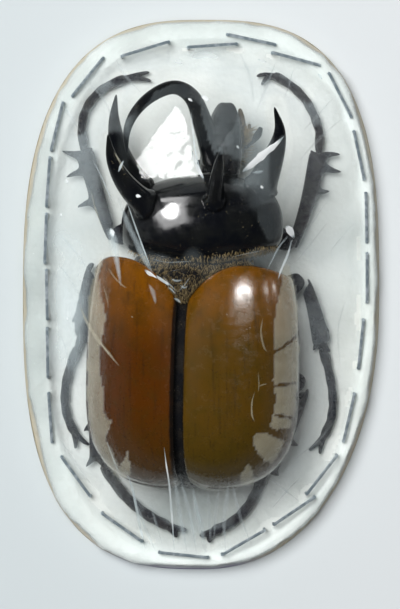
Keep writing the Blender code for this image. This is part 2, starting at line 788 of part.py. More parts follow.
def inside_staples(x, y):
    """Whether a spot is inside the line of staples and clear of it, where the film hangs free."""
    corners = [spot for place in places for spot in leg_spots(place)]
    spot = Vector((x, y, 0.0))
    crossings = 0
    for start, end in zip(corners, corners[1:] + corners[:1]):
        if (start.y > y) != (end.y > y):
            if x < start.x + (y - start.y) / (end.y - start.y) * (end.x - start.x):
                crossings += 1
        along = max(0.0, min(1.0, (spot - start).dot(end - start) / (end - start).length_squared))
        if (start.lerp(end, along) - spot).length < FILM_CLAMP:
            return False
    return crossings % 2 == 1


def film_heights(columns, rows, cell):
    """Heights of a film stretched over the specimen, on a grid of columns by rows of cells."""
    xs = (np.arange(columns + 1) - columns / 2) * cell
    ys = (np.arange(rows + 1) - rows / 2) * cell
    parts = 6
    offsets = (np.arange(parts) + 0.5) / parts
    spots, corners, weights = [], [], []
    for row in range(rows):
        for column in range(columns):
            first = row * (columns + 1) + column
            square = (first, first + 1, first + columns + 1, first + columns + 2)
            for u in offsets:
                for v in offsets:
                    spots.append((xs[column] + u * cell, ys[row] + v * cell))
                    if u + v <= 1:
                        corners.append((square[0], square[1], square[2]))
                        weights.append((1 - u - v, u, v))
                    else:
                        corners.append((square[3], square[2], square[1]))
                        weights.append((u + v - 1, 1 - u, 1 - v))
    floor = surface_heights(spots) + GAP + 0.1
    corners, weights = np.array(corners), np.array(weights)
    share = weights / (weights**2).sum(axis=1)[:, None]
    rest = RIM_HEIGHT + GAP
    grid = np.full((rows + 1, columns + 1), rest)
    inside = np.array([[inside_staples(x, y) for x in xs] for y in ys])
    for pull in range(400):
        drawn = grid.copy()
        drawn[1:-1, 1:-1] = (grid[:-2, 1:-1] + grid[2:, 1:-1] + grid[1:-1, :-2] + grid[1:-1, 2:]) / 4
        grid = np.where(inside, drawn, rest)
        for lift in range(1 if pull < 399 else 12):
            flat = grid.ravel()
            short = floor - (flat[corners] * weights).sum(axis=1)
            low = short > 0
            raised = flat.copy()
            rise = flat[corners[low]] + short[low, None] * share[low]
            np.maximum.at(raised, corners[low].ravel(), rise.ravel())
            grid = raised.reshape(grid.shape)
    return xs, ys, grid


def make_film(holes):
    """The clear film: one thin sheet over the beetle, trimmed to the card and pierced for the staples."""
    columns = 2 * math.ceil(CARD_HALF_WIDTH / FILM_CELL)
    rows = 2 * math.ceil(CARD_HALF_LENGTH / FILM_CELL)
    xs, ys, heights = film_heights(columns, rows, FILM_CELL)
    body = bmesh.new()
    lower = []
    for y, line in zip(ys, heights):
        lower.append([body.verts.new(Vector((x, y, height)) * MM) for x, height in zip(xs, line)])
    for j in range(rows):
        for i in range(columns):
            a, b = lower[j][i], lower[j][i + 1]
            c, d = lower[j + 1][i], lower[j + 1][i + 1]
            body.faces.new((a, c, b))
            body.faces.new((d, b, c))
    made = bmesh.ops.extrude_face_region(body, geom=body.faces[:])
    raised = [item for item in made["geom"] if isinstance(item, bmesh.types.BMVert)]
    bmesh.ops.translate(body, verts=raised, vec=(0, 0, FILM_THICKNESS * MM))
    bmesh.ops.recalc_face_normals(body, faces=body.faces)
    mesh = bpy.data.meshes.new("clear_film")
    body.to_mesh(mesh)
    body.free()
    film = node("clear_film", mesh, ("clear_film", CLEAR_FILM))
    trim = bmesh.new()
    turns = even_turns(CARD_SIDES, CARD_HALF_WIDTH, CARD_HALF_LENGTH)
    half_width = CARD_HALF_WIDTH - FILM_INSET
    half_length = CARD_HALF_LENGTH - FILM_INSET
    edge = [outline(half_width, half_length, turn) * MM for turn in turns]
    base = trim.faces.new([trim.verts.new(spot) for spot in edge])
    grown = bmesh.ops.extrude_face_region(trim, geom=[base])
    top = [item for item in grown["geom"] if isinstance(item, bmesh.types.BMVert)]
    bmesh.ops.translate(trim, verts=top, vec=(0, 0, 60 * MM))
    bmesh.ops.recalc_face_normals(trim, faces=trim.faces)
    prism = bpy.data.meshes.new("film_trim")
    trim.to_mesh(prism)
    trim.free()
    cutter = node("film_trim", prism, None, collection=cutters)
    boolean(film, "INTERSECT", cutter)
    boolean(film, "DIFFERENCE", holes)
    settle(film)
    bpy.data.objects.remove(cutter)
    return film


def staple_mesh(height):
    """One wire staple: a straight crown and two legs down to the board."""
    reach = (STAPLE_CROWN - STAPLE_WIRE) / 2
    radius = STAPLE_WIRE / 2
    bend = 0.3
    drop = STAPLE_LEG_END - height
    line = [
        (-reach, 0, drop),
        (-reach, 0, -bend),
        (-reach + bend, 0, 0),
        (reach - bend, 0, 0),
        (reach, 0, -bend),
        (reach, 0, drop),
    ]
    return tube("staple", line, [radius] * len(line), ("steel_wire", STEEL_WIRE), None, 1, 6)


def make_staples(places, film):
    """Staples laid on the film all the way round, just clear of it."""
    body = world_mesh(film)
    bmesh.ops.triangulate(body, faces=body.faces)
    tree = BVHTree.FromBMesh(body)
    body.free()
    down = Vector((0.0, 0.0, -1.0))
    for index, place in enumerate(places):
        first, last = leg_spots(place)
        highest = 0.0
        for share in np.linspace(0, 1, 40):
            spot = first.lerp(last, float(share)) * MM
            hit = tree.ray_cast(Vector((spot.x, spot.y, 0.1)), down)[0]
            if hit is not None:
                highest = max(highest, hit.z / MM)
        height = highest + GAP + STAPLE_WIRE / 2
        wire = staple_mesh(height)
        wire.name = f"staple_{index + 1:02d}"
        wire.data.name = wire.name
        wire.location = Vector((place[0], place[1], height)) * MM
        wire.rotation_euler = (0.0, 0.0, place[2])


places = [(x, y, math.radians(turn)) for x, y, turn in STAPLE_PLACES]
holes = leg_holes(places)
make_beetle()
make_card(holes)
make_staples(places, make_film(holes))
bpy.data.objects.remove(holes)
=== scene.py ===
"""Looks of the dried five-horned beetle on its foam card, under stretched clear film."""

import math
import random

import bmesh
import bpy
import numpy as np
from mathutils import Matrix, Vector, noise
from mathutils.bvhtree import BVHTree


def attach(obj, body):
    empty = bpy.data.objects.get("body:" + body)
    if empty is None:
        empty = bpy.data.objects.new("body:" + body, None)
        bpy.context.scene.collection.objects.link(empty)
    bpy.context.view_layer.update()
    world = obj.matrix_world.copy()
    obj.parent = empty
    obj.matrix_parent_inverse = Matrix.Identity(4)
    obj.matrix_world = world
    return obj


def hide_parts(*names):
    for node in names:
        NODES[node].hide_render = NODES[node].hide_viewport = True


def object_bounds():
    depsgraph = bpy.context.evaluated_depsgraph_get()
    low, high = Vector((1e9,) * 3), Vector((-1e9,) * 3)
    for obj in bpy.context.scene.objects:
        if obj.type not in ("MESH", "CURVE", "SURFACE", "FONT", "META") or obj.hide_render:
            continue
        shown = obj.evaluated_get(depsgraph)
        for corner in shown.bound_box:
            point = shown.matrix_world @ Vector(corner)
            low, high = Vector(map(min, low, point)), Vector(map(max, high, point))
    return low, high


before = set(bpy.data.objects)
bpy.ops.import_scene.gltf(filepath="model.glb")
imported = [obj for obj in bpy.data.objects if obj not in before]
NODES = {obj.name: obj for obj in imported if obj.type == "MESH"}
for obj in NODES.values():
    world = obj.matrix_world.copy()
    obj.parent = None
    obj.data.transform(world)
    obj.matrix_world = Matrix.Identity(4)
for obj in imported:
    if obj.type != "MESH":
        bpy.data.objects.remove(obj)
cad_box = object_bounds()

MM = 0.001
ROOT = "root"
NEIGHBOURS = ((1, 0), (-1, 0), (0, 1), (0, -1))


def held_in(value):
    """A number kept between 0 and 1."""
    return max(0.0, min(1.0, value))


def placed(name, data):
    """A new object in the scene."""
    thing = bpy.data.objects.new(name, data)
    bpy.context.scene.collection.objects.link(thing)
    return thing


def coat(mesh, material):
    """Gives a mesh its one material."""
    mesh.materials.clear()
    mesh.materials.append(material)


def link(mesh, name, replaced, material):
    """Puts a made mesh in the scene as a piece of the part."""
    mesh.name = name
    coat(mesh, material)
    piece = placed(name, mesh)
    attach(piece, ROOT)
    if replaced:
        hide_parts(*replaced)
    return piece


def mesh_from(body, name, closed=True):
    """A smooth mesh from a bmesh, which is then freed."""
    mesh = bpy.data.meshes.new(name)
    if closed:
        bmesh.ops.recalc_face_normals(body, faces=body.faces)
    body.to_mesh(mesh)
    body.free()
    mesh.shade_smooth()
    return mesh


# Materials


class Paint:
    """A node tree being built for one material or one group, with short calls for its nodes."""

    def __init__(self, tree):
        self.tree = tree
        self.place = tree.nodes.new("ShaderNodeTexCoord").outputs["Object"]

    def fill(self, made, values):
        """Gives a node's inputs numbers, colours or other nodes' outputs."""
        for name, value in values.items():
            if isinstance(value, bpy.types.NodeSocket):
                self.tree.links.new(value, made.inputs[name])
            else:
                made.inputs[name].default_value = value
        return made.outputs

    def node(self, kind, values, **settings):
        """The outputs of a new node."""
        made = self.tree.nodes.new(kind)
        for name, value in settings.items():
            setattr(made, name, value)
        return self.fill(made, values)

    def noise(self, scale, detail=3.0, rough=0.55, distort=0.0, place=None):
        values = {"Vector": place or self.place, "Scale": scale, "Detail": detail}
        return self.node("ShaderNodeTexNoise", {**values, "Roughness": rough, "Distortion": distort})["Fac"]

    def cells(self, scale):
        values = {"Vector": self.place, "Scale": scale}
        return self.node("ShaderNodeTexVoronoi", values, feature="F1")["Distance"]

    def ramp(self, fac, low, high, start=0.0, end=1.0):
        values = {"Value": fac, "From Min": low, "From Max": high, "To Min": start, "To Max": end}
        return self.node("ShaderNodeMapRange", values, interpolation_type="SMOOTHSTEP")["Result"]

    def math(self, operation, first, second):
        return self.node("ShaderNodeMath", {0: first, 1: second}, operation=operation)[0]

    def times(self, first, second):
        return self.math("MULTIPLY", first, second)

    def mix(self, fac, first, second):
        return self.node("ShaderNodeMix", {0: fac, 6: first, 7: second}, data_type="RGBA")[2]

    def blend(self, fac, first, second):
        return self.node("ShaderNodeMixShader", {0: fac, 1: first, 2: second})[0]

    def bump(self, height, strength, distance):
        values = {"Height": height, "Strength": strength, "Distance": distance}
        return self.node("ShaderNodeBump", values)["Normal"]

    def stored(self, name):
        return self.node("ShaderNodeAttribute", {}, attribute_name=name)["Fac"]

    def stretched(self, *scale):
        return self.node("ShaderNodeMapping", {"Vector": self.place, "Scale": scale})["Vector"]

    def split(self, place):
        return self.node("ShaderNodeSeparateXYZ", {0: place})

    def shared(self, group, *values):
        """A shared effect placed in this tree, with its own values."""
        return self.node("ShaderNodeGroup", dict(enumerate(values)), node_tree=group)


def new_material(name):
    """An empty material with a Principled shader; gives the material, its paint and the shader."""
    made = bpy.data.materials.new(name)
    made.use_nodes = True
    paint = Paint(made.node_tree)
    return made, paint, made.node_tree.nodes["Principled BSDF"]


def new_effect(name, inputs, numbers, vectors=()):
    """An empty node group for an effect that several materials use: its paint, inputs and exit."""
    tree = bpy.data.node_groups.new(name, "ShaderNodeTree")
    sockets = ((inputs, "INPUT", "Float"), (numbers, "OUTPUT", "Float"), (vectors, "OUTPUT", "Vector"))
    for labels, way, kind in sockets:
        for label in labels:
            tree.interface.new_socket(label, in_out=way, socket_type="NodeSocket" + kind)
    return Paint(tree), tree.nodes.new("NodeGroupInput").outputs, tree.nodes.new("NodeGroupOutput")


def grain_effect():
    """Fine pits, dull patches, specks of dust and a slow drift, used by every shell."""
    numbers = ("Height", "Roughness", "Dust", "Drift")
    paint, given, leave = new_effect("shell_grain", ("Pit Size", "Pit Depth", "Dull"), numbers)
    wear = paint.noise(900, 4.0, 0.6)
    hollow = paint.times(paint.ramp(paint.cells(given["Pit Size"]), 0.05, 0.32), given["Pit Depth"])
    dull = paint.times(paint.ramp(wear, 0.35, 0.7, 0.55, 1.45), given["Dull"])
    specks = paint.ramp(paint.noise(3800, 1.0, 0.4), 0.7, 0.78)
    patches = paint.ramp(paint.noise(260, 2.0, 0.5), 0.45, 0.65)
    paint.fill(leave, {
        "Height": paint.math("ADD", hollow, paint.times(wear, 0.25)),
        "Roughness": paint.math("ADD", dull, paint.times(paint.noise(5200, 2.0, 0.5), 0.05)),
        "Dust": paint.times(specks, patches),
        "Drift": paint.ramp(paint.noise(420, 4.0, 0.6), 0.38, 0.64),
    })
    return paint.tree


def wing_effect():
    """Long streaks, soft blotches, dark pits and a wander of the dark rim, used by both wing cases."""
    paint, given, leave = new_effect("wing_marks", ("Pit Size",), ("Streak", "Blotch", "Pits", "Wander"))
    pits = paint.math("SUBTRACT", 1.0, paint.ramp(paint.cells(given["Pit Size"]), 0.05, 0.3))
    paint.fill(leave, {
        "Streak": paint.noise(1.0, 5.0, 0.6, 0.0, paint.stretched(1500, 90, 1500)),
        "Blotch": paint.ramp(paint.noise(330, 5.0, 0.65, 0.4), 0.42, 0.66, 0.0, 0.45),
        "Pits": paint.times(pits, 0.5),
        "Wander": paint.times(paint.math("SUBTRACT", paint.noise(700, 3.0), 0.5), 0.5),
    })
    return paint.tree


def haze_effect():
    """The film's milky mask, broken up by wisps and scratches, and the waves of its surface."""
    paint, given, leave = new_effect("film_haze", ("Haze", "Least"), ("Mask",), ("Wave",))
    wisps = paint.ramp(paint.noise(130, 4.0, 0.55, 0.8), 0.35, 0.7, 0.8, 1.15)
    lines = paint.noise(1.0, 3.0, 0.6, 0.0, paint.stretched(2600, 160, 2600))
    mask = paint.times(paint.times(given["Haze"], wisps), paint.ramp(lines, 0.6, 0.8, 1.0, 1.25))
    paint.fill(leave, {
        "Mask": paint.math("MINIMUM", paint.math("ADD", mask, given["Least"]), 0.95),
        "Wave": paint.bump(paint.noise(420, 4.0, 0.6, 0.5), 0.25, 0.0002),
    })
    return paint.tree


GRAIN, WING_MARKS, FILM_HAZE = grain_effect(), wing_effect(), haze_effect()
DUST = (0.3, 0.25, 0.14, 1)
WING_PIT_SIZE = 2300


def shell_material(name, base, tint, pit_size, pit_depth, dull, bump, shine=0.5):
    """A hard beetle shell: its colour drifts from base to tint, with pits, dull patches and dust."""
    made, paint, shader = new_material(name)
    grain = paint.shared(GRAIN, pit_size, pit_depth, dull)
    colour = paint.mix(grain["Drift"], (*base, 1), (*tint, 1))
    paint.fill(shader, {
        "Base Color": paint.mix(paint.times(grain["Dust"], 0.5), colour, DUST),
        "Roughness": grain["Roughness"],
        "Normal": paint.bump(grain["Height"], bump, 0.00006),
        "Specular IOR Level": shine,
    })
    return made


def wing_material(name, middle, front, rear, dark):
    """A wing case: brown with a warmer front, a darker rear, dark margins, pits and faint streaks."""
    middle, front, rear, dark = ((*colour, 1) for colour in (middle, front, rear, dark))
    made, paint, shader = new_material(name)
    grain = paint.shared(GRAIN, WING_PIT_SIZE, 0.5, 0.2)
    marks = paint.shared(WING_MARKS, WING_PIT_SIZE)
    length = paint.stored("along")
    colour = paint.mix(paint.ramp(length, 0.02, 0.42), front, middle)
    colour = paint.mix(paint.ramp(length, 0.55, 0.98), colour, rear)
    colour = paint.mix(marks["Blotch"], colour, rear)
    colour = paint.mix(paint.ramp(marks["Streak"], 0.5, 0.75, 0.0, 0.4), colour, dark)
    colour = paint.mix(marks["Pits"], colour, dark)
    rim = paint.math("ADD", paint.stored("rim"), marks["Wander"])
    height = paint.math("ADD", grain["Height"], paint.times(marks["Streak"], 0.4))
    paint.fill(shader, {
        "Base Color": paint.mix(paint.ramp(rim, 0.25, 1.05), colour, dark),
        "Roughness": grain["Roughness"],
        "Normal": paint.bump(height, 0.35, 0.00005),
        "Coat Weight": 0.3,
        "Coat Roughness": 0.09,
    })
    return made


def foam_material():
    """White foam: painted light, shade and shadow with a stain from a stored mask, soft cells, faint
    yellowing, grey scuffs and a kraft-coloured line low on its side.
    """
    made, paint, shader = new_material("foam_white")
    soil = paint.ramp(paint.noise(60, 5.0, 0.6), 0.5, 0.8, 0.0, 0.35)
    # Painted light and shade: the stored mask runs from greenish grey in the painted shade to white where the
    # foam is painted lit.
    colour = paint.mix(paint.stored("painted_light_and_stain"), (0.36, 0.395, 0.375, 1), (0.93, 0.965, 0.93, 1))
    colour = paint.mix(soil, colour, paint.mix(0.45, colour, (0.72, 0.7, 0.56, 1)))
    scuff = paint.ramp(paint.noise(240, 6.0, 0.7, 0.6), 0.6, 0.75, 0.0, 0.25)
    colour = paint.mix(scuff, colour, (0.5, 0.55, 0.57, 1))
    low = paint.ramp(paint.split(paint.place)["Z"], 0.0012, 0.0005)
    edge = paint.mix(paint.stored("violet"), (0.52, 0.43, 0.27, 1), (0.14, 0.12, 0.24, 1))
    height = paint.math("ADD", paint.noise(520, 5.0, 0.65), paint.times(paint.cells(1400), 0.35))
    paint.fill(shader, {
        "Base Color": paint.mix(paint.times(low, 0.85), colour, edge),
        "Roughness": 0.75,
        "Normal": paint.bump(height, 0.5, 0.00025),
        "Subsurface Weight": 0.25,
        "Subsurface Radius": (0.0012, 0.0012, 0.0012),
    })
    return made


def wire_material():
    """Dull steel wire, blue-grey with brighter rubbed patches along it."""
    made, paint, shader = new_material("staple_wire")
    rub = paint.ramp(paint.noise(800, 4.0, 0.6), 0.4, 0.7)
    paint.fill(shader, {
        "Base Color": paint.mix(rub, (0.27, 0.33, 0.37, 1), (0.57, 0.64, 0.68, 1)),
        "Roughness": paint.ramp(rub, 0.0, 1.0, 0.5, 0.28),
        "Metallic": 0.5,
        "Normal": paint.bump(paint.noise(4000, 2.0), 0.3, 0.00003),
    })
    return made


def film_material(name, least, sheen):
    """Clear film: see-through, with a milky haze that a stored mask sets, and its own gloss."""
    made, paint, milk = new_material(name)
    haze = paint.shared(FILM_HAZE, paint.stored("haze"), least)
    mask, wave = haze["Mask"], haze["Wave"]
    # Where the haze is densest the milk turns a brighter white; on the ribbons this paints glints as well as
    # bright folds.
    milky = paint.mix(paint.ramp(mask, 0.45, 0.85), (0.67, 0.78, 0.81, 1), (0.94, 0.97, 0.975, 1))
    milky = paint.mix(paint.stored("warm"), milky, (0.62, 0.56, 0.36, 1))
    milky = paint.fill(milk, {"Base Color": milky, "Roughness": 0.4, "Normal": wave})[0]
    clear = paint.node("ShaderNodeBsdfTransparent", {})[0]
    hazed = paint.blend(mask, clear, milky)
    gloss = paint.node("ShaderNodeBsdfGlossy", {"Roughness": 0.06, "Normal": wave})[0]
    shine = paint.times(paint.node("ShaderNodeFresnel", {"IOR": 1.5, "Normal": wave})[0], sheen)
    shadow = paint.node("ShaderNodeLightPath", {})["Is Shadow Ray"]
    veil = paint.node("ShaderNodeBsdfTransparent", {0: (0.96, 0.965, 0.97, 1)})[0]
    look = paint.blend(shadow, paint.blend(shine, hazed, gloss), veil)
    paint.fill(paint.tree.nodes["Material Output"], {0: look})
    return made


def hair_material():
    """Short golden-brown hair."""
    made, paint, shader = new_material("golden_hair")
    colour = paint.mix(paint.noise(2000, 2.0), (0.2, 0.13, 0.05, 1), (0.42, 0.33, 0.17, 1))
    paint.fill(shader, {"Base Color": colour, "Roughness": 0.5})
    return made


black_glossy = shell_material(
    "black_glossy", (0.0025, 0.003, 0.0045), (0.006, 0.0065, 0.0065), 3400, 0.15, 0.13, 0.15, 0.26
)
black_pitted = shell_material(
    "black_pitted", (0.006, 0.006, 0.007), (0.014, 0.012, 0.01), 2600, 0.6, 0.25, 0.4, 0.35
)
leg_black = shell_material(
    "leg_black", (0.003, 0.002, 0.007), (0.022, 0.02, 0.021), 2800, 0.6, 0.3, 0.45, 0.35
)
mouth_brown = shell_material(
    "mouth_brown", (0.045, 0.03, 0.018), (0.1, 0.075, 0.045), 2500, 0.4, 0.5, 0.5
)
wing_left = wing_material(
    "wing_left", (0.073, 0.02, 0.0003), (0.175, 0.06, 0.001), (0.05, 0.024, 0.002), (0.006, 0.004, 0.003)
)
wing_right = wing_material(
    "wing_right", (0.082, 0.041, 0.003), (0.165, 0.06, 0.001), (0.052, 0.034, 0.003), (0.007, 0.005, 0.003)
)
foam_white = foam_material()
staple_wire = wire_material()
film_clear = film_material("film_clear", 0.001, 0.65)
# Painted highlights: this material also draws the film's glints as dense white or golden haze on the ribbons.
film_fold_and_glint = film_material("film_fold_and_glint", 0.0, 1.0)
golden_hair = hair_material()


# Shapes


MERGE = 0.004
FLAT_ANGLE, SKEW_ANGLE = math.radians(50), math.radians(60)


def refined(node, material, levels=2):
    """A smooth piece from a CAD node: its triangles joined to quads and subdivided."""
    body = bmesh.new()
    body.from_mesh(NODES[node].data)
    bmesh.ops.remove_doubles(body, verts=body.verts, dist=MERGE * MM)
    bmesh.ops.join_triangles(
        body, faces=body.faces, angle_face_threshold=FLAT_ANGLE, angle_shape_threshold=SKEW_ANGLE
    )
    for edge in body.edges:
        edge.smooth = True
    name = node + "_smooth"
    coarse = placed(name, mesh_from(body, name))
    modifier = coarse.modifiers.new("smooth", "SUBSURF")
    modifier.levels = modifier.render_levels = levels
    bpy.context.view_layer.update()
    graph = bpy.context.evaluated_depsgraph_get()
    fine = bpy.data.meshes.new_from_object(coarse.evaluated_get(graph), depsgraph=graph)
    bpy.data.objects.remove(coarse)
    fine.shade_smooth()
    return link(fine, name, [node], material)


def store(mesh, name, values):
    """Keeps one number a vertex on the mesh."""
    layer = mesh.attributes.new(name, "FLOAT", "POINT")
    layer.data.foreach_set("value", np.asarray(values, dtype=np.float32))


def tree_of(*objects):
    """A search tree over the surfaces of several objects."""
    body = bmesh.new()
    for thing in objects:
        body.from_mesh(thing.data)
    bmesh.ops.triangulate(body, faces=body.faces)
    tree = BVHTree.FromBMesh(body)
    body.free()
    return tree


ROOT_DEPTH, ROOT_NEAR, FLARE, FLARE_END = 1.2, 0.5, 0.45, 1.6


def sunk(piece, carrier):
    """Sinks the root of a horn into what carries it, with a soft flare above the root."""
    tree = tree_of(carrier)
    for vertex in piece.data.vertices:
        _, normal, _, distance = tree.find_nearest(vertex.co)
        gap = distance / MM
        if gap < ROOT_NEAR:
            vertex.co -= normal * (ROOT_DEPTH + gap) * MM
        elif gap < FLARE_END:
            fade = 1 - (gap - ROOT_NEAR) / (FLARE_END - ROOT_NEAR)
            vertex.co += vertex.normal * FLARE * MM * fade**2
    piece.data.update()
    return piece


def fuller(piece, amount):
    """Swells a thin piece a little, as smoothing makes it thinner."""
    for vertex in piece.data.vertices:
        vertex.co += vertex.normal * amount * MM
    piece.data.update()


LEGS = ("front_left", "front_right", "middle_left", "middle_right", "hind_left", "hind_right")
TARSUS_SWELL, HIND_TARSUS_SWELL = 0.14, 0.26
body_pieces = []
for node in ("thorax", "head", "head_horn", "scutellum"):
    body_pieces.append(refined(node, black_glossy if node != "scutellum" else black_pitted))
for node in ("abdomen", "eye_left", "eye_right", "antenna_left", "antenna_right"):
    body_pieces.append(refined(node, black_pitted))
thorax, head, head_horn = body_pieces[:3]
sunk(head_horn, head)
for node in ("rear_left", "rear_right", "front_left", "front_right"):
    body_pieces.append(sunk(refined("thorax_horn_" + node, black_glossy), thorax))
body_pieces.append(refined("mouthparts", mouth_brown))
for place in LEGS:
    for part in ("femur", "tibia", "tarsus"):
        limb = refined(f"{part}_{place}", leg_black, 1 if part == "tarsus" else 2)
        if part == "tarsus":
            fuller(limb, HIND_TARSUS_SWELL if place.startswith("hind") else TARSUS_SWELL)
        body_pieces.append(limb)


WING_FRAME = (
    Matrix.Translation(Vector((-1.25, -12.7, 10.3)) * MM)
    @ Matrix.Rotation(math.radians(-1.2), 4, "Z")
    @ Matrix.Rotation(math.radians(-10.5), 4, "Y")
).inverted()
WING_HALF_LENGTH = 17.3
WING_HALF_WIDTH = 16.0
SUTURE = 0.6


def dress_wing(piece, side):
    """Stores how far along the wing case each point lies, and how near its dark rim."""
    along, rim = [], []
    for vertex in piece.data.vertices:
        x, y, z = (WING_FRAME @ vertex.co) / MM
        share = (WING_HALF_LENGTH - y) / (2 * WING_HALF_LENGTH)
        inner = abs(x) - SUTURE
        outer = WING_HALF_WIDTH - abs(x) + max(0.0, z) * 0.25
        rear = (1 - share) * 2 * WING_HALF_LENGTH
        seam = 1.35 - inner / (0.7 if side == "left" else 0.25)
        edge = 1.1 - 0.7 * min(outer / 1.1, rear / 1.6)
        along.append(share)
        rim.append(held_in(max(seam * 1.4, edge)))
    store(piece.data, "along", along)
    store(piece.data, "rim", rim)


wings = []
for side, look in (("left", wing_left), ("right", wing_right)):
    wing = refined("elytron_" + side, look)
    dress_wing(wing, side)
    wings.append(wing)
body_pieces += wings

STAPLES = 23
for index in range(1, STAPLES + 1):
    wire = NODES[f"staple_{index:02d}"].data
    coat(wire, staple_wire)
    wire.shade_smooth()


# The card

# Half width and length of the card and of the ring of staples, in millimetres
CARD = (26.9, 41.5)
CARD_CORNERS = (3.0, 2.7, 2.8, 2.2)
RING = (23.8, 38.6)
RING_CENTRE = (0.8, -0.4)
TURNS = 300
BED_LEVEL, RIM_LEVEL = 2.6, 3.6
# Inset, height and raggedness of the rings up the cut side
SIDE_RINGS = (
    (0.6, 0.0, 0.0), (0.0, 0.15, 0.0), (0.0, 0.75, 0.6), (0.35, 0.95, 1.2), (0.2, 1.6, 1.4), (0.22, 2.6, 1.4),
    (0.45, 3.3, 1.4),
)
RIM_SHARES = (0.12, 0.28, 0.45, 0.6, 0.75, 0.9, 1.0)
BED_SCALES = (0.985, 0.965, 0.94, 0.9, 0.85, 0.8, 0.74, 0.68, 0.62, 0.55, 0.47, 0.38, 0.28, 0.18, 0.08)


def power(value, exponent):
    return math.copysign(abs(value) ** exponent, value)


def outline(halves, turn, centre=(0.0, 0.0), inset=0.0):
    """A point of the card's rounded outline, or of one inside it, in millimetres."""
    corner = CARD_CORNERS[int(turn / (math.pi / 2)) % 4]
    across = (halves[0] - inset) * power(math.cos(turn), 2 / corner)
    along = (halves[1] - inset) * power(math.sin(turn), 2 / corner)
    return Vector((centre[0] + across, centre[1] + along, 0.0))


def even_turns(count):
    """Turns that space count points evenly round the card."""
    fine = [index * math.tau / 1440 for index in range(1441)]
    spots = [outline(CARD, turn) for turn in fine]
    lengths = np.cumsum([0.0] + [(b - a).length for a, b in zip(spots, spots[1:])])
    return np.interp(np.arange(count) * lengths[-1] / count, lengths, fine)


def rough(x, y, z, size, seed=0.0):
    """Smooth noise about -1 to 1, for a spot in millimetres and a size of its bumps."""
    return noise.noise(Vector((x / size + seed, y / size - seed, z / size + 3 * seed))) * 1.6


def make_card():
    """The foam card: a thin board under soft foam, its rim puffed up outside the staples."""
    turns = even_turns(TURNS)
    body = bmesh.new()
    rings = []

    def ring(place):
        rings.append([body.verts.new(Vector(place(float(turn))) * MM) for turn in turns])

    def edge(turn):
        spot = outline(CARD, turn)
        ragged = 0.25 + 0.25 * rough(spot.x, spot.y, 1, 7.0) + 0.12 * rough(spot.x, spot.y, 4, 1.7)
        spot = spot.lerp(outline(CARD, turn, inset=5), held_in((inset + max(0.0, ragged) * wave) / 5))
        return spot.x, spot.y, height

    def puffed(turn):
        spot = outline(CARD, turn, inset=0.7).lerp(outline(RING, turn, RING_CENTRE), share)
        lump = 0.16 * rough(spot.x, spot.y, 0, 4.0, 5.0) + 0.1 * rough(spot.x, spot.y, 0, 1.3, 9.0)
        return spot.x, spot.y, RIM_LEVEL + 0.32 * math.sin(share * math.pi * 0.8) + lump * min(1, share * 3)

    def laid(turn):
        middle = Vector((*RING_CENTRE, 0.0))
        spot = middle + (outline(RING, turn, RING_CENTRE) - middle) * scale
        slope = max(0.0, (scale - 0.94) / 0.06)
        lump = 0.1 * rough(spot.x, spot.y, 0, 5.0, 2.0) + 0.05 * rough(spot.x, spot.y, 0, 1.4, 7.0)
        return spot.x, spot.y, BED_LEVEL + lump + slope**1.5 * 1.1

    for inset, height, wave in SIDE_RINGS:
        ring(edge)
    for share in RIM_SHARES:
        ring(puffed)
    for scale in BED_SCALES:
        ring(laid)
    for lower, upper in zip(rings, rings[1:]):
        for index in range(TURNS):
            after = (index + 1) % TURNS
            body.faces.new((lower[index], lower[after], upper[after], upper[index]))
    body.faces.new(rings[-1])
    body.faces.new(list(reversed(rings[0])))
    bmesh.ops.triangulate(body, faces=[face for face in body.faces if len(face.verts) > 4])
    mesh = mesh_from(body, "foam_bed")
    painted_light_and_stain, violet = [], []
    for vertex in mesh.vertices:
        x, y, z = vertex.co / MM
        across, along = (x - RING_CENTRE[0]) / RING[0], (y - RING_CENTRE[1]) / RING[1]
        outside = held_in(((abs(across) ** 2.8 + abs(along) ** 2.8) ** (1 / 2.8) - 0.96) / 0.08)
        # Painted shadow under the beetle's tail, together with a real stain there; and darker towards both
        # sides a little above the middle of the bed.
        shadow_and_stain = 0.85 * math.exp(-(((x + 1.5) / 10) ** 2) - ((y + 33) / 6) ** 2)
        shadow_and_stain += 0.24 * across**2 * math.exp(-(((along - 0.27) / 0.22) ** 2))
        # Painted light: the bed is lighter towards both ends.
        level = 0.64 + 0.22 * along**2 - shadow_and_stain
        # Painted light and shade on the rim: darker on the left, lighter at the bottom, and along the top
        # darker in the middle and lighter at the corners.
        rim_painted_light = 0.66 - 0.45 * max(0.0, -across) ** 2 + 0.2 * max(0.0, -along)
        rim_painted_light -= 0.2 * max(0.0, along) * (1 - 2.4 * across**2)
        level += (rim_painted_light - level) * outside
        painted_light_and_stain.append(held_in(level + 0.1 * rough(x, y, 0, 6.0, 3.0)))
        violet.append(held_in((-30 - y) / 4) * held_in((14 - abs(x + 3)) / 5))
    store(mesh, "painted_light_and_stain", painted_light_and_stain)
    store(mesh, "violet", violet)
    return link(mesh, "foam_bed", ["foam_card"], foam_white)


card = make_card()


# The film

FILM_STEP = 0.3
FILM_TOP_LIMIT = cad_box[1][2] / MM - 0.08
# Gaps below the film and heights above the table, in millimetres
BODY_GAP, CARD_GAP = 0.14, 0.3
FREE_LEVEL, EDGE_LEVEL = 4.2, 3.2
BLURRING, SOFTENING = 24, 140
ARCH_FACET = (
    (-8.6, 16.4), (-9.6, 19.1), (-6.3, 23.6), (-3.5, 27.2), (-2.1, 25.2), (-1.1, 19.8), (-0.2, 16.3),
)
beetle_tree = tree_of(*body_pieces)
card_tree = tree_of(card)
film_tree = tree_of(NODES["clear_film"])


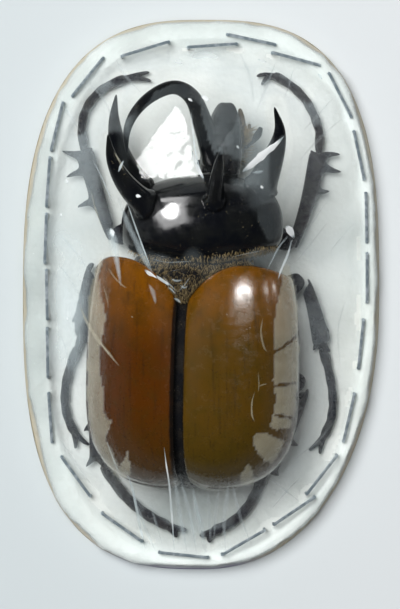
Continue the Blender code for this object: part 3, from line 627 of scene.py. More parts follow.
def drop(tree, x, y, default):
    """Height of a surface below a spot, in millimetres."""
    hit = tree.ray_cast(Vector((x * MM, y * MM, 0.1)), Vector((0, 0, -1)))[0]
    return default if hit is None else hit.z / MM


def spread(grid, steps):
    """The highest value within some grid steps of each place."""
    for step in range(steps):
        wide = grid.copy()
        for move in NEIGHBOURS:
            wide = np.maximum(wide, np.roll(grid, move, (0, 1)))
        grid = wide
    return grid


def within(corners, x, y):
    """Whether a spot lies inside a polygon."""
    inside = False
    for (ax, ay), (bx, by) in zip(corners, corners[1:] + corners[:1]):
        if (ay > y) != (by > y) and x < ax + (y - ay) / (by - ay) * (bx - ax):
            inside = not inside
    return inside


def heights_over(tree, xs, ys, default):
    """Heights of a surface below each place of a grid."""
    return np.array([[drop(tree, x, y, default) for x in xs] for y in ys])


def film_levels():
    """Heights of the film on a fine grid: the pull of the CAD film, softened, held at the staples."""
    grid = [(half, int(2 * half / FILM_STEP)) for half in CARD]
    xs, ys = (np.linspace(-half, half, steps + 1) for half, steps in grid)
    fine_x, fine_y = (np.linspace(-half, half, 2 * steps + 1) for half, steps in grid)
    under = heights_over(beetle_tree, fine_x, fine_y, BED_LEVEL)
    low = spread(under, 2)[::2, ::2] + BODY_GAP
    start = heights_over(film_tree, xs, ys, 0.0)
    held = heights_over(card_tree, xs, ys, 0.0) + CARD_GAP
    blurred = start
    for step in range(BLURRING):
        blurred = (blurred + sum(np.roll(blurred, move, (0, 1)) for move in NEIGHBOURS)) / 5
    free = blurred > FREE_LEVEL
    level = np.where(free, np.maximum(start - CARD_GAP, held), held)
    for step in range(SOFTENING):
        pulled = level.copy()
        pulled[1:-1, 1:-1] = (
            level[:-2, 1:-1] + level[2:, 1:-1] + level[1:-1, :-2] + level[1:-1, 2:]
        ) / 4
        level = np.where(free, np.maximum(pulled, low), held)
    facet = np.array([[within(ARCH_FACET, x, y) for x in xs] for y in ys])
    across, along = np.meshgrid(xs, ys)
    places = np.column_stack([across[facet], along[facet], np.ones(facet.sum())])
    plane = np.linalg.lstsq(places, level[facet], rcond=None)[0]
    flat = plane[0] * across + plane[1] * along + plane[2]
    level = np.where(facet, np.maximum(flat, low), level)
    return xs, ys, level, low, held, free, facet


# Middle, half sizes and remaining haze of the places where the film clings
CLEAR_SPOTS = (
    (-4, 13.4, 9, 9, 0),
    (-1, 10.6, 10, 4.8, 0),
    (2, 16.6, 2.2, 5.4, 0),
    (4.5, 17.6, 1.9, 1.6, 0.1),
    (3.2, 24.1, 3.2, 4.8, 0.3),
    (-3.8, 23.6, 6.6, 8.4, 0.06),
    (10.9, 26.3, 1.5, 2.6, 0.05),
    (-12, 17.5, 2.6, 6, 0.08),
    (4.4, 9.3, 3.6, 4.6, 0.02),
    (10, 8.5, 3, 5, 0.5),
    (0.5, 3, 9, 3.2, 0.25),
    (-1.6, -11.2, 12.5, 15.6, 0),
    (18.5, -12, 4, 16, 0.7),
    (17, 16, 4, 9, 0.6),
    (-10, -31, 8, 5, 0.6),
    (9, -32, 7, 5, 0.6),
)
# Two ends, half width and remaining haze of the legs that show through
CLEAR_LINES = (
    (-12.8, 29.5, -12, 23.4, 0.9, 0.35),
    (-11, -28.8, -10, -32.4, 0.72, 0.1),
    (-8, -33.2, -4.3, -35.5, 0.87, 0),
    (-15.5, -22.5, -11.6, -28.5, 0.72, 0.25),
    (0.4, -36.1, 3.7, -35.4, 0.72, 0),
    (5.5, -33.5, 7.5, -31.1, 0.72, 0),
    (7.8, -27, 8.8, -25.5, 0.58, 0.2),
    (-12.3, 32, -7.4, 31.9, 0.72, 0.03),
    (-16.8, 28.1, -15.6, 29.3, 0.58, 0.05),
    (-17.9, 24.3, -17.3, 26.6, 0.58, 0.05),
    (9.2, 32.4, 10.9, 32, 0.72, 0.05),
    (11.6, 31.3, 15.5, 29.2, 0.72, 0.12),
    (17.2, 24.1, 17.8, 21.9, 0.58, 0.05),
    (17, 20.4, 14.6, 13, 1.3, 0.2),
    (14.4, 12.3, 12.3, 7.8, 1.3, 0.1),
    (-19.8, -11.9, -19.1, -18.6, 0.72, 0.4),
    (-19.5, -19.9, -17.6, -21.5, 0.72, 0.3),
    (18.3, -8.2, 19.6, -15.7, 0.87, 0.4),
    (19.7, -16.5, 18.5, -21.7, 0.87, 0.35),
    (14.4, 4.3, 15.9, 0.3, 1.16, 0.3),
    (14.9, -13.2, 15.7, -16.2, 0.87, 0.35),
)
# Haze and outline of the milky patches
MILKY = (
    (0.1, ((-0.3, 27.9), (1.7, 27.9), (5.6, 25.6), (1.9, 19.6), (0.9, 22.3))),
    (0.17, ((5.6, 25.4), (7.4, 23.6), (7.2, 20.8), (4.6, 19.5), (3, 19.6), (2.4, 20.3))),
    (0.07, ((11.9, 22.9), (12.4, 21.2), (11.6, 16.8), (11.1, 14), (9, 13.3), (9, 19.7))),
    (0.05, ((7.9, 14.1), (12, 13.9), (12.2, 9), (9.8, 7.6), (8.1, 10.3))),
    (0.05, ((-8.4, 26.6), (-6.6, 29), (-4.2, 30.2), (-1.2, 30), (0.6, 28.6), (0.2, 27.2), (-1.6, 28),
        (-4.6, 28.4), (-7.4, 26))),
    (0.31, ((-14.7, 5.3), (-15.5, 3.8), (-16.1, 1.4), (-16.4, -1.6), (-16.5, -6), (-16.7, -10.4),
        (-16.7, -14.7), (-16.4, -18.1), (-16, -21.1), (-15.1, -23.1), (-13.9, -24.9), (-12.8, -26.4),
        (-11.7, -27.2), (-11.2, -26.2), (-12.1, -24.7), (-12.9, -22.9), (-13.8, -21.3), (-13.5, -20),
        (-12.9, -18.4), (-13.9, -17.7), (-14.1, -15.9), (-14.2, -13.6), (-14.8, -10.7), (-14.8, -8.1),
        (-14.2, -5.6), (-14, -3.5), (-14.3, -1.3), (-14.9, 0.6), (-15, 2.8), (-14.3, 4.7))),
    (0.3, ((12, 4.7), (12.9, 3.8), (13.7, 1.3), (14.1, -2.3), (14.2, -8.1), (14.1, -13.2), (13.8, -16.8),
        (13.1, -19.4), (10.8, -19.6), (9.9, -19), (10.5, -17), (10.9, -15), (10.4, -12.4), (10.4, -8),
        (10.5, -4.5), (11, -0.9), (11.6, 1.3))),
    (0.31, ((7.3, -20.4), (8.2, -19.9), (9.6, -20.1), (12, -21.3), (11.4, -22.9), (10.3, -24.5),
        (9.1, -24.1), (8.2, -22.7), (7.5, -21.4))),
    (0.34, ((6.9, -24.3), (7.4, -25.4), (7.9, -27.3), (6.8, -27.9), (5.7, -27.5), (5.8, -26), (6.3, -25.1))),
    (0.32, ((-10.6, -22.5), (-10.3, -24.3), (-10.2, -26.1), (-11.1, -26.9), (-12.2, -26.6), (-12, -25.3),
        (-11.2, -24.2))),
)
# Ends of the clear lines that split a milky patch
GAPS = (
    (10.2, -8.6, 12.2, -7.4),
    (12.2, -7.4, 14.2, -5.8),
    (10.6, -13.2, 13.9, -12.9),
    (10.7, -17.4, 13.1, -17.9),
)
GAP_HALF_WIDTH = 0.22
PUCKERS, PUCKER_HEIGHT, RIPPLE_HEIGHT = 26, 0.16, 0.03
GAP_HAZE, LIFT_HAZE, WARM_PATCH, WARM_RIBBON = 0.17, 0.25, 0.75, 0.8
# Middle, half sizes and haze of the bloom over the left middle leg
BLOOM_X, BLOOM_Y, BLOOM_WIDE, BLOOM_LONG, BLOOM_HAZE = -19.2, -3.0, 2.6, 9.0, 0.3


def line_distance(x, y, x0, y0, x1, y1):
    """Distance in millimetres from a spot to a straight line between two others."""
    across, along = x1 - x0, y1 - y0
    share = held_in(((x - x0) * across + (y - y0) * along) / (across**2 + along**2))
    return math.hypot(x - x0 - share * across, y - y0 - share * along)


def clarity(x, y):
    """How much of the film's haze shows at a spot: less where it clings to the beetle."""
    share = 1.0
    wander = 0.12 * rough(x, y, 0, 3.0, 4.0)
    for middle_x, middle_y, wide, long, least in CLEAR_SPOTS:
        away = (abs((x - middle_x) / wide) ** 3 + abs((y - middle_y) / long) ** 3) ** (1 / 3) + wander
        inside = held_in((1.25 - away) / 0.4)
        share = min(share, 1 - (1 - least) * inside)
    for x0, y0, x1, y1, radius, least in CLEAR_LINES:
        if abs(x - x0) + abs(y - y0) < 14:
            away = line_distance(x, y, x0, y0, x1, y1) / radius / 1.4 + wander * 2
            inside = held_in((1.4 - away) / 0.6)
            share = min(share, 1 - (1 - least) * inside)
    return share


def milkiness(x, y):
    """Haze of the sharp-edged milky patches where the film lifts off the wing cases."""
    if any(line_distance(x, y, *line) < GAP_HALF_WIDTH for line in GAPS):
        return 0.0
    near_x, near_y = x + 0.12 * rough(x, y, 0, 3.0, 6.0), y + 0.12 * rough(x, y, 0, 3.0, 8.0)
    return max((amount for amount, corners in MILKY if within(corners, near_x, near_y)), default=0.0)


def film_piece(name, body, haze, warm, replaced, material):
    """A piece of the film, with its haze and its warm tint stored at each point."""
    mesh = mesh_from(body, name, closed=False)
    store(mesh, "haze", haze)
    store(mesh, "warm", warm)
    return link(mesh, name, replaced, material)


def make_film():
    """The clear film as a fine creased sheet and one flat facet, with haze from the gap to the beetle."""
    xs, ys, level, low, held, free, facet = film_levels()
    heights, haze, warm = {}, {}, {}
    for j, y in enumerate(ys):
        for i, x in enumerate(xs):
            height = level[j, i]
            if height < EDGE_LEVEL:
                continue
            ray = math.atan2(y + 2, x) * PUCKERS + rough(x, y, 0, 9.0) * 3
            pucker = math.sin(ray) * 0.5 + rough(x, y, 2, 2.6, 3.0)
            slack = held_in((height - low[j, i]) / 2.5) if free[j, i] else 0.3
            slack = 0.04 if facet[j, i] else slack
            height += pucker * PUCKER_HEIGHT * slack + rough(x, y, 5, 0.9, 1.0) * RIPPLE_HEIGHT
            height = min(max(height, low[j, i]), FILM_TOP_LIMIT)
            spot = Vector((x, y, height)) * MM
            gap = beetle_tree.find_nearest(spot)[3] / MM if free[j, i] else 3.0
            lift = held_in((level[j, i] - held[j, i]) / 4)
            veil = GAP_HAZE * held_in((gap - 0.8) / 0.6) + LIFT_HAZE * lift * held_in((gap - 1.2) / 9)
            heights[j, i] = spot
            patch = milkiness(x, y)
            bloom = math.exp(-(((x - BLOOM_X) / BLOOM_WIDE) ** 2) - ((y - BLOOM_Y) / BLOOM_LONG) ** 2)
            veil = veil * clarity(x, y) + BLOOM_HAZE * lift * bloom
            haze[j, i] = max(veil, patch)
            warm[j, i] = WARM_PATCH if patch > max(veil, 0.2) else 0.0
    sheets = []
    for name, wanted in (("film_sheet", False), ("film_facet", True)):
        body = bmesh.new()
        spots = {}
        for j in range(len(ys) - 1):
            for i in range(len(xs) - 1):
                keys = ((j, i), (j, i + 1), (j + 1, i + 1), (j + 1, i))
                if all(key in heights for key in keys) and all(facet[key] for key in keys) == wanted:
                    for key in keys:
                        if key not in spots:
                            spots[key] = body.verts.new(heights[key])
                    body.faces.new([spots[key] for key in keys])
        values = [haze[key] for key in spots], [warm[key] for key in spots]
        sheets.append(film_piece(name, body, *values, ["clear_film"], film_clear))
    return sheets


film, film_facet = make_film()
film_surface = tree_of(film)
facet_surface = tree_of(film_facet)
# Haze, warm tint or none, and the spots of each ribbon: where it runs and its half width there. The long
# ribbons are folds of the film; the short bright flecks are painted glints, white or golden.
FOLDS_AND_GLINTS = (
    (0.85, 0, ((-1.9, 28.1, 0.04), (-1.6, 27.9, 0.19), (-1.2, 27.6, 0.04))),
    (0.98, 0, ((5.8, 17.3, 0.04), (7.3, 18.5, 0.43), (9.1, 20.1, 0.49), (10.6, 21.3, 0.29),
        (11.9, 22.6, 0.03))),
    (0.9, 0, ((-1.3, 20.5, 0.04), (-0.9, 19, 0.17), (-0.3, 17.6, 0.26), (0.4, 16.3, 0.07))),
    (0.6, 0, ((-1.4, 26, 0.04), (-1.1, 22.6, 0.09), (-0.7, 19.7, 0.12), (0.3, 16.2, 0.04))),
    (0.42, 0, ((-11.9, 14, 0.17), (-10.7, 10.4, 0.41), (-9.1, 7.1, 0.55), (-7.9, 4.6, 0.49),
        (-6.9, 2.9, 0.12))),
    (0.6, 0, ((-10.8, 13.6, 0.04), (-9.7, 10.4, 0.09), (-8.4, 6.8, 0.1), (-7.2, 3.8, 0.04))),
    (0.55, 0, ((-13.4, 9.6, 0.43), (-12.8, 7.9, 0.7), (-12.2, 4.7, 0.52), (-11.6, 1.2, 0.12))),
    (0.5, 0, ((-15.7, 19.5, 0.07), (-14.2, 16.5, 0.14), (-12.8, 13.2, 0.06))),
    (0.5, 1, ((-16.1, 15.2, 0.04), (-15.5, 12.7, 0.13), (-14.4, 9.7, 0.04))),
    (0.5, 1, ((-18, -1.3, 0.07), (-16.7, -4.1, 0.25), (-15.2, -6.4, 0.25), (-13.5, -8.4, 0.22),
        (-11.8, -10.4, 0.07))),
    (0.3, 1, ((-13.5, 3.8, 0.07), (-12.6, 2.5, 0.16), (-11.4, 1.3, 0.16), (-10.7, 0.9, 0.06))),
    (0.25, 1, ((-14.3, 1.3, 0.06), (-13.7, -0.3, 0.14), (-13.4, -2, 0.06))),
    (0.5, 1, ((-10.1, -3.2, 0.03), (-9.9, -3.3, 0.1), (-9.8, -3.4, 0.03))),
    (0.75, 0, ((-8.1, 3.5, 0.09), (-7.5, 3, 0.29), (-6.8, 2.6, 0.14), (-6.3, 2.2, 0.04))),
    (0.6, 0, ((-6.5, 2.7, 0.06), (-5.9, 2.2, 0.23), (-5, 1.6, 0.17), (-4.5, 1.2, 0.04))),
    (0.35, 0, ((-7.5, 1.4, 0.12), (-6.9, 0.2, 0.46), (-6.5, -1.4, 0.12))),
    (0.4, 0, ((-5.5, 2.6, 0.04), (-4.5, 1.4, 0.1), (-3.4, 0.3, 0.04))),
    (0.35, 0, ((-1.6, 2.4, 0.04), (-2.3, 1.4, 0.1), (-3.2, 0.4, 0.04))),
    (0.45, 0, ((-4.3, 2.2, 0.07), (-3.6, 1.9, 0.2), (-2.7, 2, 0.07))),
    (0.5, 0, ((-4.7, 1, 0.06), (-4.2, 0.6, 0.17), (-3.6, 0, 0.06))),
    (0.45, 0, ((-3, 1.3, 0.06), (-2.4, 0.9, 0.14), (-1.9, 1.2, 0.04))),
    (0.5, 0, ((-3.9, -0.6, 0.07), (-3.3, -0.9, 0.26), (-2.9, -1.3, 0.06))),
    (0.3, 0, ((-7.4, 5.2, 0.04), (-5.2, 4.6, 0.07), (-3, 4.6, 0.07), (-1.3, 4.7, 0.04))),
    (0.3, 0, ((4.4, 5.3, 0.04), (7, 5.9, 0.07), (9.4, 6.4, 0.04))),
    (0.55, 0, ((12.6, 8.4, 0.12), (11.4, 7, 0.19), (10.4, 5.2, 0.14), (9.4, 3.2, 0.04))),
    (0.8, 0, ((13.2, 7.9, 0.12), (12.5, 5.5, 0.17), (11.6, 3.5, 0.14), (11.1, 2, 0.04))),
    (0.98, 0, ((12.3, 9.9, 0.12), (12.9, 9.2, 0.52), (13.5, 8.2, 0.13))),
    (0.95, 0, ((-9.4, 14.2, 0.06), (-9.1, 14.1, 0.22), (-8.6, 14, 0.06))),
    (0.95, 0, ((8.6, 15.6, 0.06), (8.7, 15.3, 0.2), (9, 15.2, 0.06))),
    (0.55, 0, ((7.3, 17.3, 0.06), (8.1, 17.4, 0.26), (9, 17.6, 0.06))),
    (0.8, 0, ((5.1, 21.1, 0.06), (5.2, 20.9, 0.16), (5.4, 20.6, 0.06))),
    (0.9, 0, ((0, 28.5, 0.07), (0.6, 28.2, 0.35), (1.1, 27.7, 0.07))),
    (0.9, 0, ((-13.2, 9.6, 0.07), (-12.9, 8.9, 0.29), (-12.8, 8.2, 0.07))),
    (0.6, 0, ((-11.9, 17.5, 0.04), (-11.5, 18.4, 0.17), (-11.1, 19.2, 0.04))),
    (0.5, 1, ((-12.5, 20.4, 0.04), (-11.8, 19.2, 0.13), (-11.1, 17.7, 0.04))),
    (0.4, 1, ((8.9, -3.4, 0.06), (8.6, -5.4, 0.16), (9, -7.5, 0.22), (9.5, -8.3, 0.06))),
    (0.3, 1, ((8.2, -11.2, 0.04), (8.3, -13, 0.13), (8.2, -14, 0.04))),
    (0.45, 1, ((7.7, -14, 0.04), (7.3, -15.5, 0.13), (7.3, -17.3, 0.17), (7.7, -18.3, 0.04))),
    (0.4, 1, ((8.2, -13.3, 0.04), (8.9, -13, 0.13), (9.5, -12.9, 0.04))),
    (0.75, 0, ((-5.3, -22, 0.03), (-5, -24.6, 0.1), (-4.6, -27.7, 0.13), (-4.3, -32.5, 0.14),
        (-4, -38.2, 0.07))),
    (0.42, 0, ((-3.9, -26.3, 0.06), (-3.5, -29.3, 0.38), (-3, -33.3, 0.43), (-2.1, -38.5, 0.17))),
    (0.42, 0, ((-2.9, -26.9, 0.06), (-2.2, -30, 0.32), (-1.5, -33.3, 0.32), (-0.7, -38.5, 0.12))),
    (0.5, 0, ((-1.2, -28.1, 0.07), (-0.7, -31.3, 0.52), (0, -34.6, 0.55), (0.7, -38.8, 0.2))),
    (0.42, 0, ((4, -27.2, 0.06), (3.7, -30.1, 0.35), (3.4, -33.7, 0.38), (3.7, -38.5, 0.12))),
    (0.38, 0, ((4.5, -27.3, 0.06), (5.1, -30.1, 0.35), (6.1, -33.8, 0.23), (7.6, -37.5, 0.07))),
    (0.3, 0, ((2.7, -27.8, 0.04), (2.2, -31.3, 0.29), (1.9, -37.4, 0.07))),
    (0.3, 0, ((1, -28.4, 0.04), (1.2, -32, 0.32), (1.5, -37.9, 0.09))),
    (0.5, 0, ((-13.7, -21.3, 0.06), (-12.7, -24.1, 0.19), (-11.6, -27.2, 0.06))),
    (0.6, 0, ((-10.9, -25.6, 0.04), (-10.1, -28.4, 0.14), (-9.6, -31.5, 0.19), (-9.1, -34.9, 0.17),
        (-8.4, -37.9, 0.06))),
    (0.42, 0, ((-10.5, -27.1, 0.04), (-9.5, -31.2, 0.26), (-8.2, -35.3, 0.29), (-6.9, -38.2, 0.07))),
    (0.3, 0, ((-7.5, -30.2, 0.04), (-6.8, -33.5, 0.23), (-5.7, -37.9, 0.07))),
    (0.3, 0, ((9.8, -26.8, 0.06), (12, -28.6, 0.23), (14.8, -31.1, 0.09))),
    (0.3, 0, ((14.7, -27.3, 0.06), (12.6, -29.3, 0.2), (10.6, -31.8, 0.09))),
    (0.2, 0, ((13.8, 4.7, 0.09), (16.1, 7.4, 0.23), (18.7, 10.7, 0.09))),
    (0.2, 0, ((14.7, 8.2, 0.07), (16.4, 10.6, 0.2), (18.3, 13.3, 0.07))),
    (0.2, 0, ((14.3, 19.4, 0.07), (17.5, 23, 0.26), (21.5, 26.7, 0.09))),
    (0.25, 0, ((15, 23.9, 0.07), (17.3, 26.5, 0.23), (19.7, 29.4, 0.07))),
    (0.2, 0, ((19.1, 6.3, 0.07), (21.1, 8.7, 0.22), (22.9, 10.8, 0.07))),
    (0.22, 0, ((7.9, 26.1, 0.07), (9.2, 29.4, 0.29), (11.2, 34.8, 0.12))),
    (0.22, 0, ((12.1, 28.6, 0.06), (13, 30.9, 0.17), (13.9, 34.2, 0.07))),
    (0.2, 0, ((5.8, 36.3, 0.09), (7.2, 31.8, 0.32), (7.6, 27.4, 0.09))),
    (0.22, 0, ((-21.7, 9.6, 0.07), (-18.8, 6.5, 0.23), (-16, 2.7, 0.07))),
    (0.2, 0, ((-21.4, 4.8, 0.07), (-19.1, 1.8, 0.2), (-17.2, -1.4, 0.07))),
    (0.22, 0, ((-21.1, 29.4, 0.07), (-19.5, 26.6, 0.23), (-17.5, 23.6, 0.07))),
    (0.22, 0, ((-12.7, 35.1, 0.07), (-11.1, 32.2, 0.26), (-8.8, 29.3, 0.07))),
    (0.2, 0, ((-16.6, 31.5, 0.07), (-14.3, 28.6, 0.23), (-12.9, 25.6, 0.07))),
    (0.2, 0, ((-21.3, -5.3, 0.07), (-20, -8.2, 0.23), (-19.4, -12.1, 0.07))),
    (0.2, 0, ((-21.1, -21.8, 0.07), (-18.7, -25.1, 0.23), (-15.7, -29.6, 0.07))),
    (0.22, 0, ((20, -18.7, 0.07), (17.4, -21.6, 0.23), (14, -24, 0.07))),
    (0.2, 0, ((21.5, -0.8, 0.07), (20.3, -5.3, 0.26), (20.7, -10.6, 0.07))),
    (0.85, 0, ((-21.1, 27.4, 0.04), (-20.9, 27.3, 0.16), (-20.8, 27, 0.04))),
    (0.85, 0, ((-20.1, 17.2, 0.04), (-19.9, 16.8, 0.16), (-19.7, 16.5, 0.04))),
    (0.7, 0, ((-21, 12.1, 0.04), (-20.8, 11.8, 0.14), (-20.7, 11.5, 0.04))),
    (0.7, 0, ((-20, -3.4, 0.04), (-19.8, -3.6, 0.14), (-19.7, -3.9, 0.04))),
    (0.7, 0, ((8.5, 35, 0.06), (9.1, 34.8, 0.23), (9.8, 34.7, 0.06))),
    (0.7, 0, ((17.5, 33, 0.06), (17.8, 32.7, 0.2), (18.1, 32.2, 0.06))),
)


def bent_line(points, steps=8):
    """A smooth line through spots that each carry a half width."""
    ends = [points[0], *points, points[-1]]
    line = []
    for index in range(1, len(ends) - 2):
        for step in range(steps):
            share = step / steps
            a, b, c, d = (np.array(point) for point in ends[index - 1:index + 3])
            pull = 2 * a - 5 * b + 4 * c - d + share * (3 * (b - c) + d - a)
            line.append(b + 0.5 * share * (c - a + share * pull))
    return line + [np.array(points[-1])]


RIBBON_SIDES = 9


def make_folds_and_glints():
    """Folds of the film and painted glints on it: low tapered ridges that lie on it, milky and sharp-edged.
    """
    body = bmesh.new()
    haze, warm = [], []
    for amount, tint, points in FOLDS_AND_GLINTS:
        line = bent_line(points)
        rows = []
        for place, (x, y, half) in enumerate(line):
            before, after = line[max(place - 1, 0)], line[min(place + 1, len(line) - 1)]
            heading = Vector((after[0] - before[0], after[1] - before[1], 0)).normalized()
            side = Vector((-heading.y, heading.x, 0))
            half = max(0.04, half * (1 + 0.22 * rough(x, y, amount, 0.9)))
            row = []
            for step in range(RIBBON_SIDES):
                share = step / (RIBBON_SIDES - 1) * 2 - 1
                spot = Vector((x, y, 0)) + side * half * share
                level = max(drop(tree, spot.x, spot.y, 2.9) for tree in (film_surface, facet_surface))
                rise = 0.03 + min(0.05, half * 0.25) * (1 - share**2)
                row.append(Vector((spot.x, spot.y, min(level + rise, FILM_TOP_LIMIT))))
                soft = 0.75 * (1 - share**2) if amount < 0.56 else 1.0
                end = min(1.0, 4 * min(place, len(line) - 1 - place) / len(line) + 0.15)
                haze.append(amount * soft * end)
                warm.append(WARM_RIBBON * tint)
            rows.append([body.verts.new(spot * MM) for spot in row])
        for lower, upper in zip(rows, rows[1:]):
            for step in range(RIBBON_SIDES - 1):
                body.faces.new((lower[step], upper[step], upper[step + 1], lower[step + 1]))
    film_piece("film_folds_and_glints", body, haze, warm, None, film_fold_and_glint)


make_folds_and_glints()


# Hair


def tuft_spots(piece, count, wanted, seed):
    """Seeded spots on a piece's faces that pass a test, each with its normal."""
    random.seed(seed)
    mesh = piece.data
    faces = [face for face in mesh.polygons if wanted(face.center / MM, face.normal)]
    areas = np.cumsum([face.area for face in faces])
    spots = []
    for step in range(count):
        face = faces[int(np.searchsorted(areas, random.random() * areas[-1]))]
        corners = [mesh.vertices[index].co for index in face.vertices]
        weights = [random.random() for corner in corners]
        total = sum(weights)
        spot = sum((corner * weight for corner, weight in zip(corners, weights)), Vector()) / total
        spots.append((spot / MM, face.normal.copy()))
    return spots


HAIR_SPLAY, HAIR_RISE, TIP_RISE, HAIR_TUCK = 0.55, 0.55, 0.15, 0.08


def hair_coat(name, spots, lie, length, radius):
    """Short solid hairs, one a spot, that leave the surface and bend to the lie; with their bake map."""
    body = bmesh.new()
    bake = body.loops.layers.uv.new("OFBake")
    for spot, normal in spots:
        lean = Vector(lie) + Vector([random.uniform(-HAIR_SPLAY, HAIR_SPLAY) for axis in range(3)])
        heading = (normal * HAIR_RISE + lean).normalized()
        tip_way = (normal * TIP_RISE + lean).normalized()
        reach = length * random.uniform(0.6, 1.15)
        side = heading.cross(Vector((0.3, 0.2, 1.0))).normalized()
        other = heading.cross(side)
        root = spot - normal * HAIR_TUCK
        middle = root + heading * reach * 0.5
        tip = middle + tip_way * reach * 0.5
        turns = [math.tau * k / 3 for k in range(3)]
        round_it = [side * math.cos(turn) + other * math.sin(turn) for turn in turns]
        low = [body.verts.new((root + way * radius) * MM) for way in round_it]
        high = [body.verts.new((middle + way * radius * 0.7) * MM) for way in round_it]
        end = body.verts.new(tip * MM)
        around = math.atan2(spot.x, spot.z - 6.0) / math.tau + 0.5
        place = (0.02 + 0.96 * around, 0.5 + spot.y / 100)
        for k in range(3):
            after = (k + 1) % 3
            wall = body.faces.new((low[k], low[after], high[after], high[k]))
            point = body.faces.new((high[k], high[after], end))
            for face, heights in ((wall, (0, 0, 0.5, 0.5)), (point, (0.5, 0.5, 1.0))):
                for loop, rise in zip(face.loops, heights):
                    across = 0.001 * (k if loop.vert in (low[k], high[k]) else k + 1)
                    loop[bake].uv = (place[0] + across, place[1] + 0.003 * rise)
        body.faces.new(list(reversed(low)))
    link(mesh_from(body, name), name, None, golden_hair)


# Name, carrier, count, test on place and facing, seed, lie, length and radius of each coat
COATS = (
    ("thorax_fringe", "thorax", 1500, lambda c, n: n.y < -0.7 and c.z > 9, 11, (0.0, -0.9, -0.1), 0.85, 0.03),
    ("collar_hair", "abdomen", 2600, lambda c, n: n.z > 0.35 and c.y > 0.5 and c.z > 13, 12,
        (0.0, -0.8, 0.25), 0.9, 0.032),
    ("scutellum_hair", "scutellum", 1100, lambda c, n: n.z > -0.1, 13, (0.0, -0.9, 0.1), 0.6, 0.028),
    ("mouth_brush", "mouthparts", 900, lambda c, n: 19.5 < c.y < 24.5, 14, (0.85, 0.2, -0.1), 1.9, 0.04),
)
for name, carrier, count, wanted, seed, *shape in COATS:
    hair_coat(name, tuft_spots(bpy.data.objects[carrier + "_smooth"], count, wanted, seed), *shape)


# Floor, lights and camera

floor_mesh = bpy.data.meshes.new("floor")
floor_mesh.from_pydata([(-2, -2, 0), (2, -2, 0), (2, 2, 0), (-2, 2, 0)], [], [(0, 1, 2, 3)])
floor = placed("floor", floor_mesh)
floor.location.z = -0.02 * MM
floor_look, floor_paint, floor_shader = new_material("floor_pale")
# Painted light: the floor's colour is lighter towards the right and a little towards the top.
spot = floor_paint.split(floor_paint.place)
slope = floor_paint.math("ADD", spot["X"], floor_paint.times(spot["Y"], 0.15))
slope = floor_paint.ramp(slope, -0.05, 0.05)
pale = floor_paint.mix(slope, (0.575, 0.63, 0.645, 1), (0.69, 0.72, 0.735, 1))
floor_paint.fill(floor_shader, {"Base Color": pale, "Roughness": 0.8})
coat(floor_mesh, floor_look)


def softbox(name, direction, distance, size, power):
    """A square lamp that shines on the part from a direction."""
    lamp = bpy.data.lights.new(name, "AREA")
    lamp.shape = "RECTANGLE"
    lamp.size, lamp.size_y = size
    lamp.energy = power
    thing = placed(name, lamp)
    heading = Vector(direction).normalized()
    thing.location = heading * distance
    thing.rotation_euler = heading.to_track_quat("Z", "Y").to_euler()
    return thing


CAMERA_SPOT = (-0.15, -1.5, 403.0)
CAMERA_DISTANCE = 400
PICTURE_HEIGHT = 609 * 0.15
MIRROR_LEVEL = 18.0
NEAR_SPOTS = ((0, 0), (0.4, 0), (-0.4, 0), (0, 0.4), (0, -0.4), (0.3, 0.3), (-0.3, -0.3))


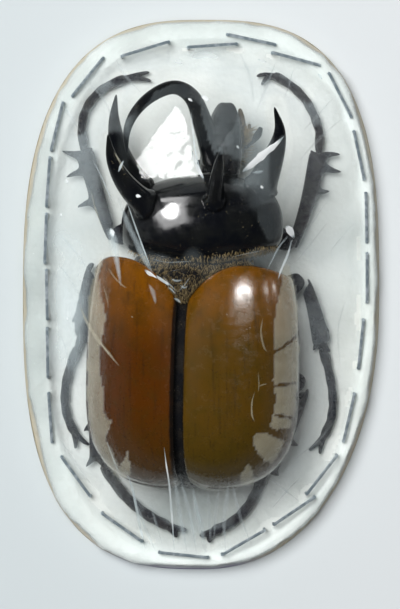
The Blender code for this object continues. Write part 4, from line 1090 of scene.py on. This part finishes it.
def glint(name, piece, spot, reach, distance, strength, shape="RECTANGLE"):
    """A small softbox that a patch of one piece mirrors; reach is the patch's half size in millimetres."""
    tree = tree_of(piece)
    start = Vector(CAMERA_SPOT) * MM

    def mirrored(x, y):
        normal = Vector()
        for across, along in NEAR_SPOTS:
            target = Vector((x + across, y + along, MIRROR_LEVEL)) * MM
            place, facing, _, _ = tree.ray_cast(start, target - start)
            if place is None:
                place, facing, _, _ = tree.find_nearest(target)
            normal += facing if facing.z > 0 else -facing
        normal.normalize()
        view = (start - place).normalized()
        return place, 2 * normal.dot(view) * normal - view

    place, heading = mirrored(*spot)
    middle = place + heading * distance
    side = heading.cross(Vector((0, 0, 1))).normalized()
    up = side.cross(heading)
    crossings = []
    for turn in range(12):
        x = spot[0] + reach[0] * math.cos(turn * math.tau / 12)
        y = spot[1] + reach[1] * math.sin(turn * math.tau / 12)
        from_place, ray = mirrored(x, y)
        off = from_place + ray * ((middle - from_place).dot(heading) / ray.dot(heading)) - middle
        crossings.append((off.dot(side), off.dot(up)))
    crossings = np.array(crossings)
    axes = np.linalg.eigh(np.cov(crossings.T))[1]
    spans = np.abs((crossings - crossings.mean(0)) @ axes).max(0) * 2
    centre = crossings.mean(0)
    lamp = softbox(name, heading, 1.0, spans, strength * math.pi * spans[0] * spans[1])
    lamp.data.shape = shape
    first = side * axes[0, 0] + up * axes[1, 0]
    second = heading.cross(first)
    lamp.matrix_world = Matrix.Translation(middle + side * centre[0] + up * centre[1]) @ Matrix(
        (first, second, heading)
    ).transposed().to_4x4()
    lamp.visible_camera = lamp.visible_diffuse = False
    group = bpy.data.collections.new(name + "_receivers")
    group.objects.link(piece)
    lamp.light_linking.receiver_collection = group
    lamp.light_linking.blocker_collection = group


right_wing = wings[1]
glint("thorax_glint", thorax, (-4.3, 12.0), (1.1, 1.2), 0.09, 60, "ELLIPSE")
glint("thorax_halo", thorax, (-4.3, 12.0), (2.0, 2.0), 0.1, 15)
glint("arch_glint", film_facet, (-4.4, 20.5), (9.0, 10.0), 0.12, 25)
glint("wing_glint", right_wing, (6.1, 0.4), (1.3, 1.0), 0.12, 30, "ELLIPSE")
glint("wing_fleck", right_wing, (9.4, 0.8), (0.3, 0.3), 0.12, 18, "ELLIPSE")
glint("shoulder_fleck", right_wing, (10.6, 1.1), (0.25, 0.25), 0.12, 18, "ELLIPSE")
softbox("main_soft", (-0.3, 0.25, 0.92), 0.7, (0.4, 0.4), 5.5).visible_glossy = False
softbox("fill_soft", (0.0, 0.0, 1.0), 1.0, (1.2, 1.2), 2.7).visible_glossy = False

world = bpy.data.worlds.new("studio")
bpy.context.scene.world = world
world.use_nodes = True
sky = Paint(world.node_tree)
height = sky.split(sky.place.node.outputs["Generated"])["Z"]
strength = sky.ramp(height, 0.1, 0.6, 0.2, 0.015)
sky.fill(world.node_tree.nodes["Background"], {"Color": (0.92, 0.96, 1.0, 1), "Strength": strength})

lens = bpy.data.cameras.new("camera")
camera = placed("camera", lens)
lens.sensor_fit = "VERTICAL"
lens.sensor_height = 24
lens.lens = lens.sensor_height * CAMERA_DISTANCE / PICTURE_HEIGHT
lens.clip_start = 0.01
camera.location = [number * MM for number in CAMERA_SPOT]
bpy.context.scene.camera = camera
bpy.context.scene.view_settings.view_transform = "Standard"
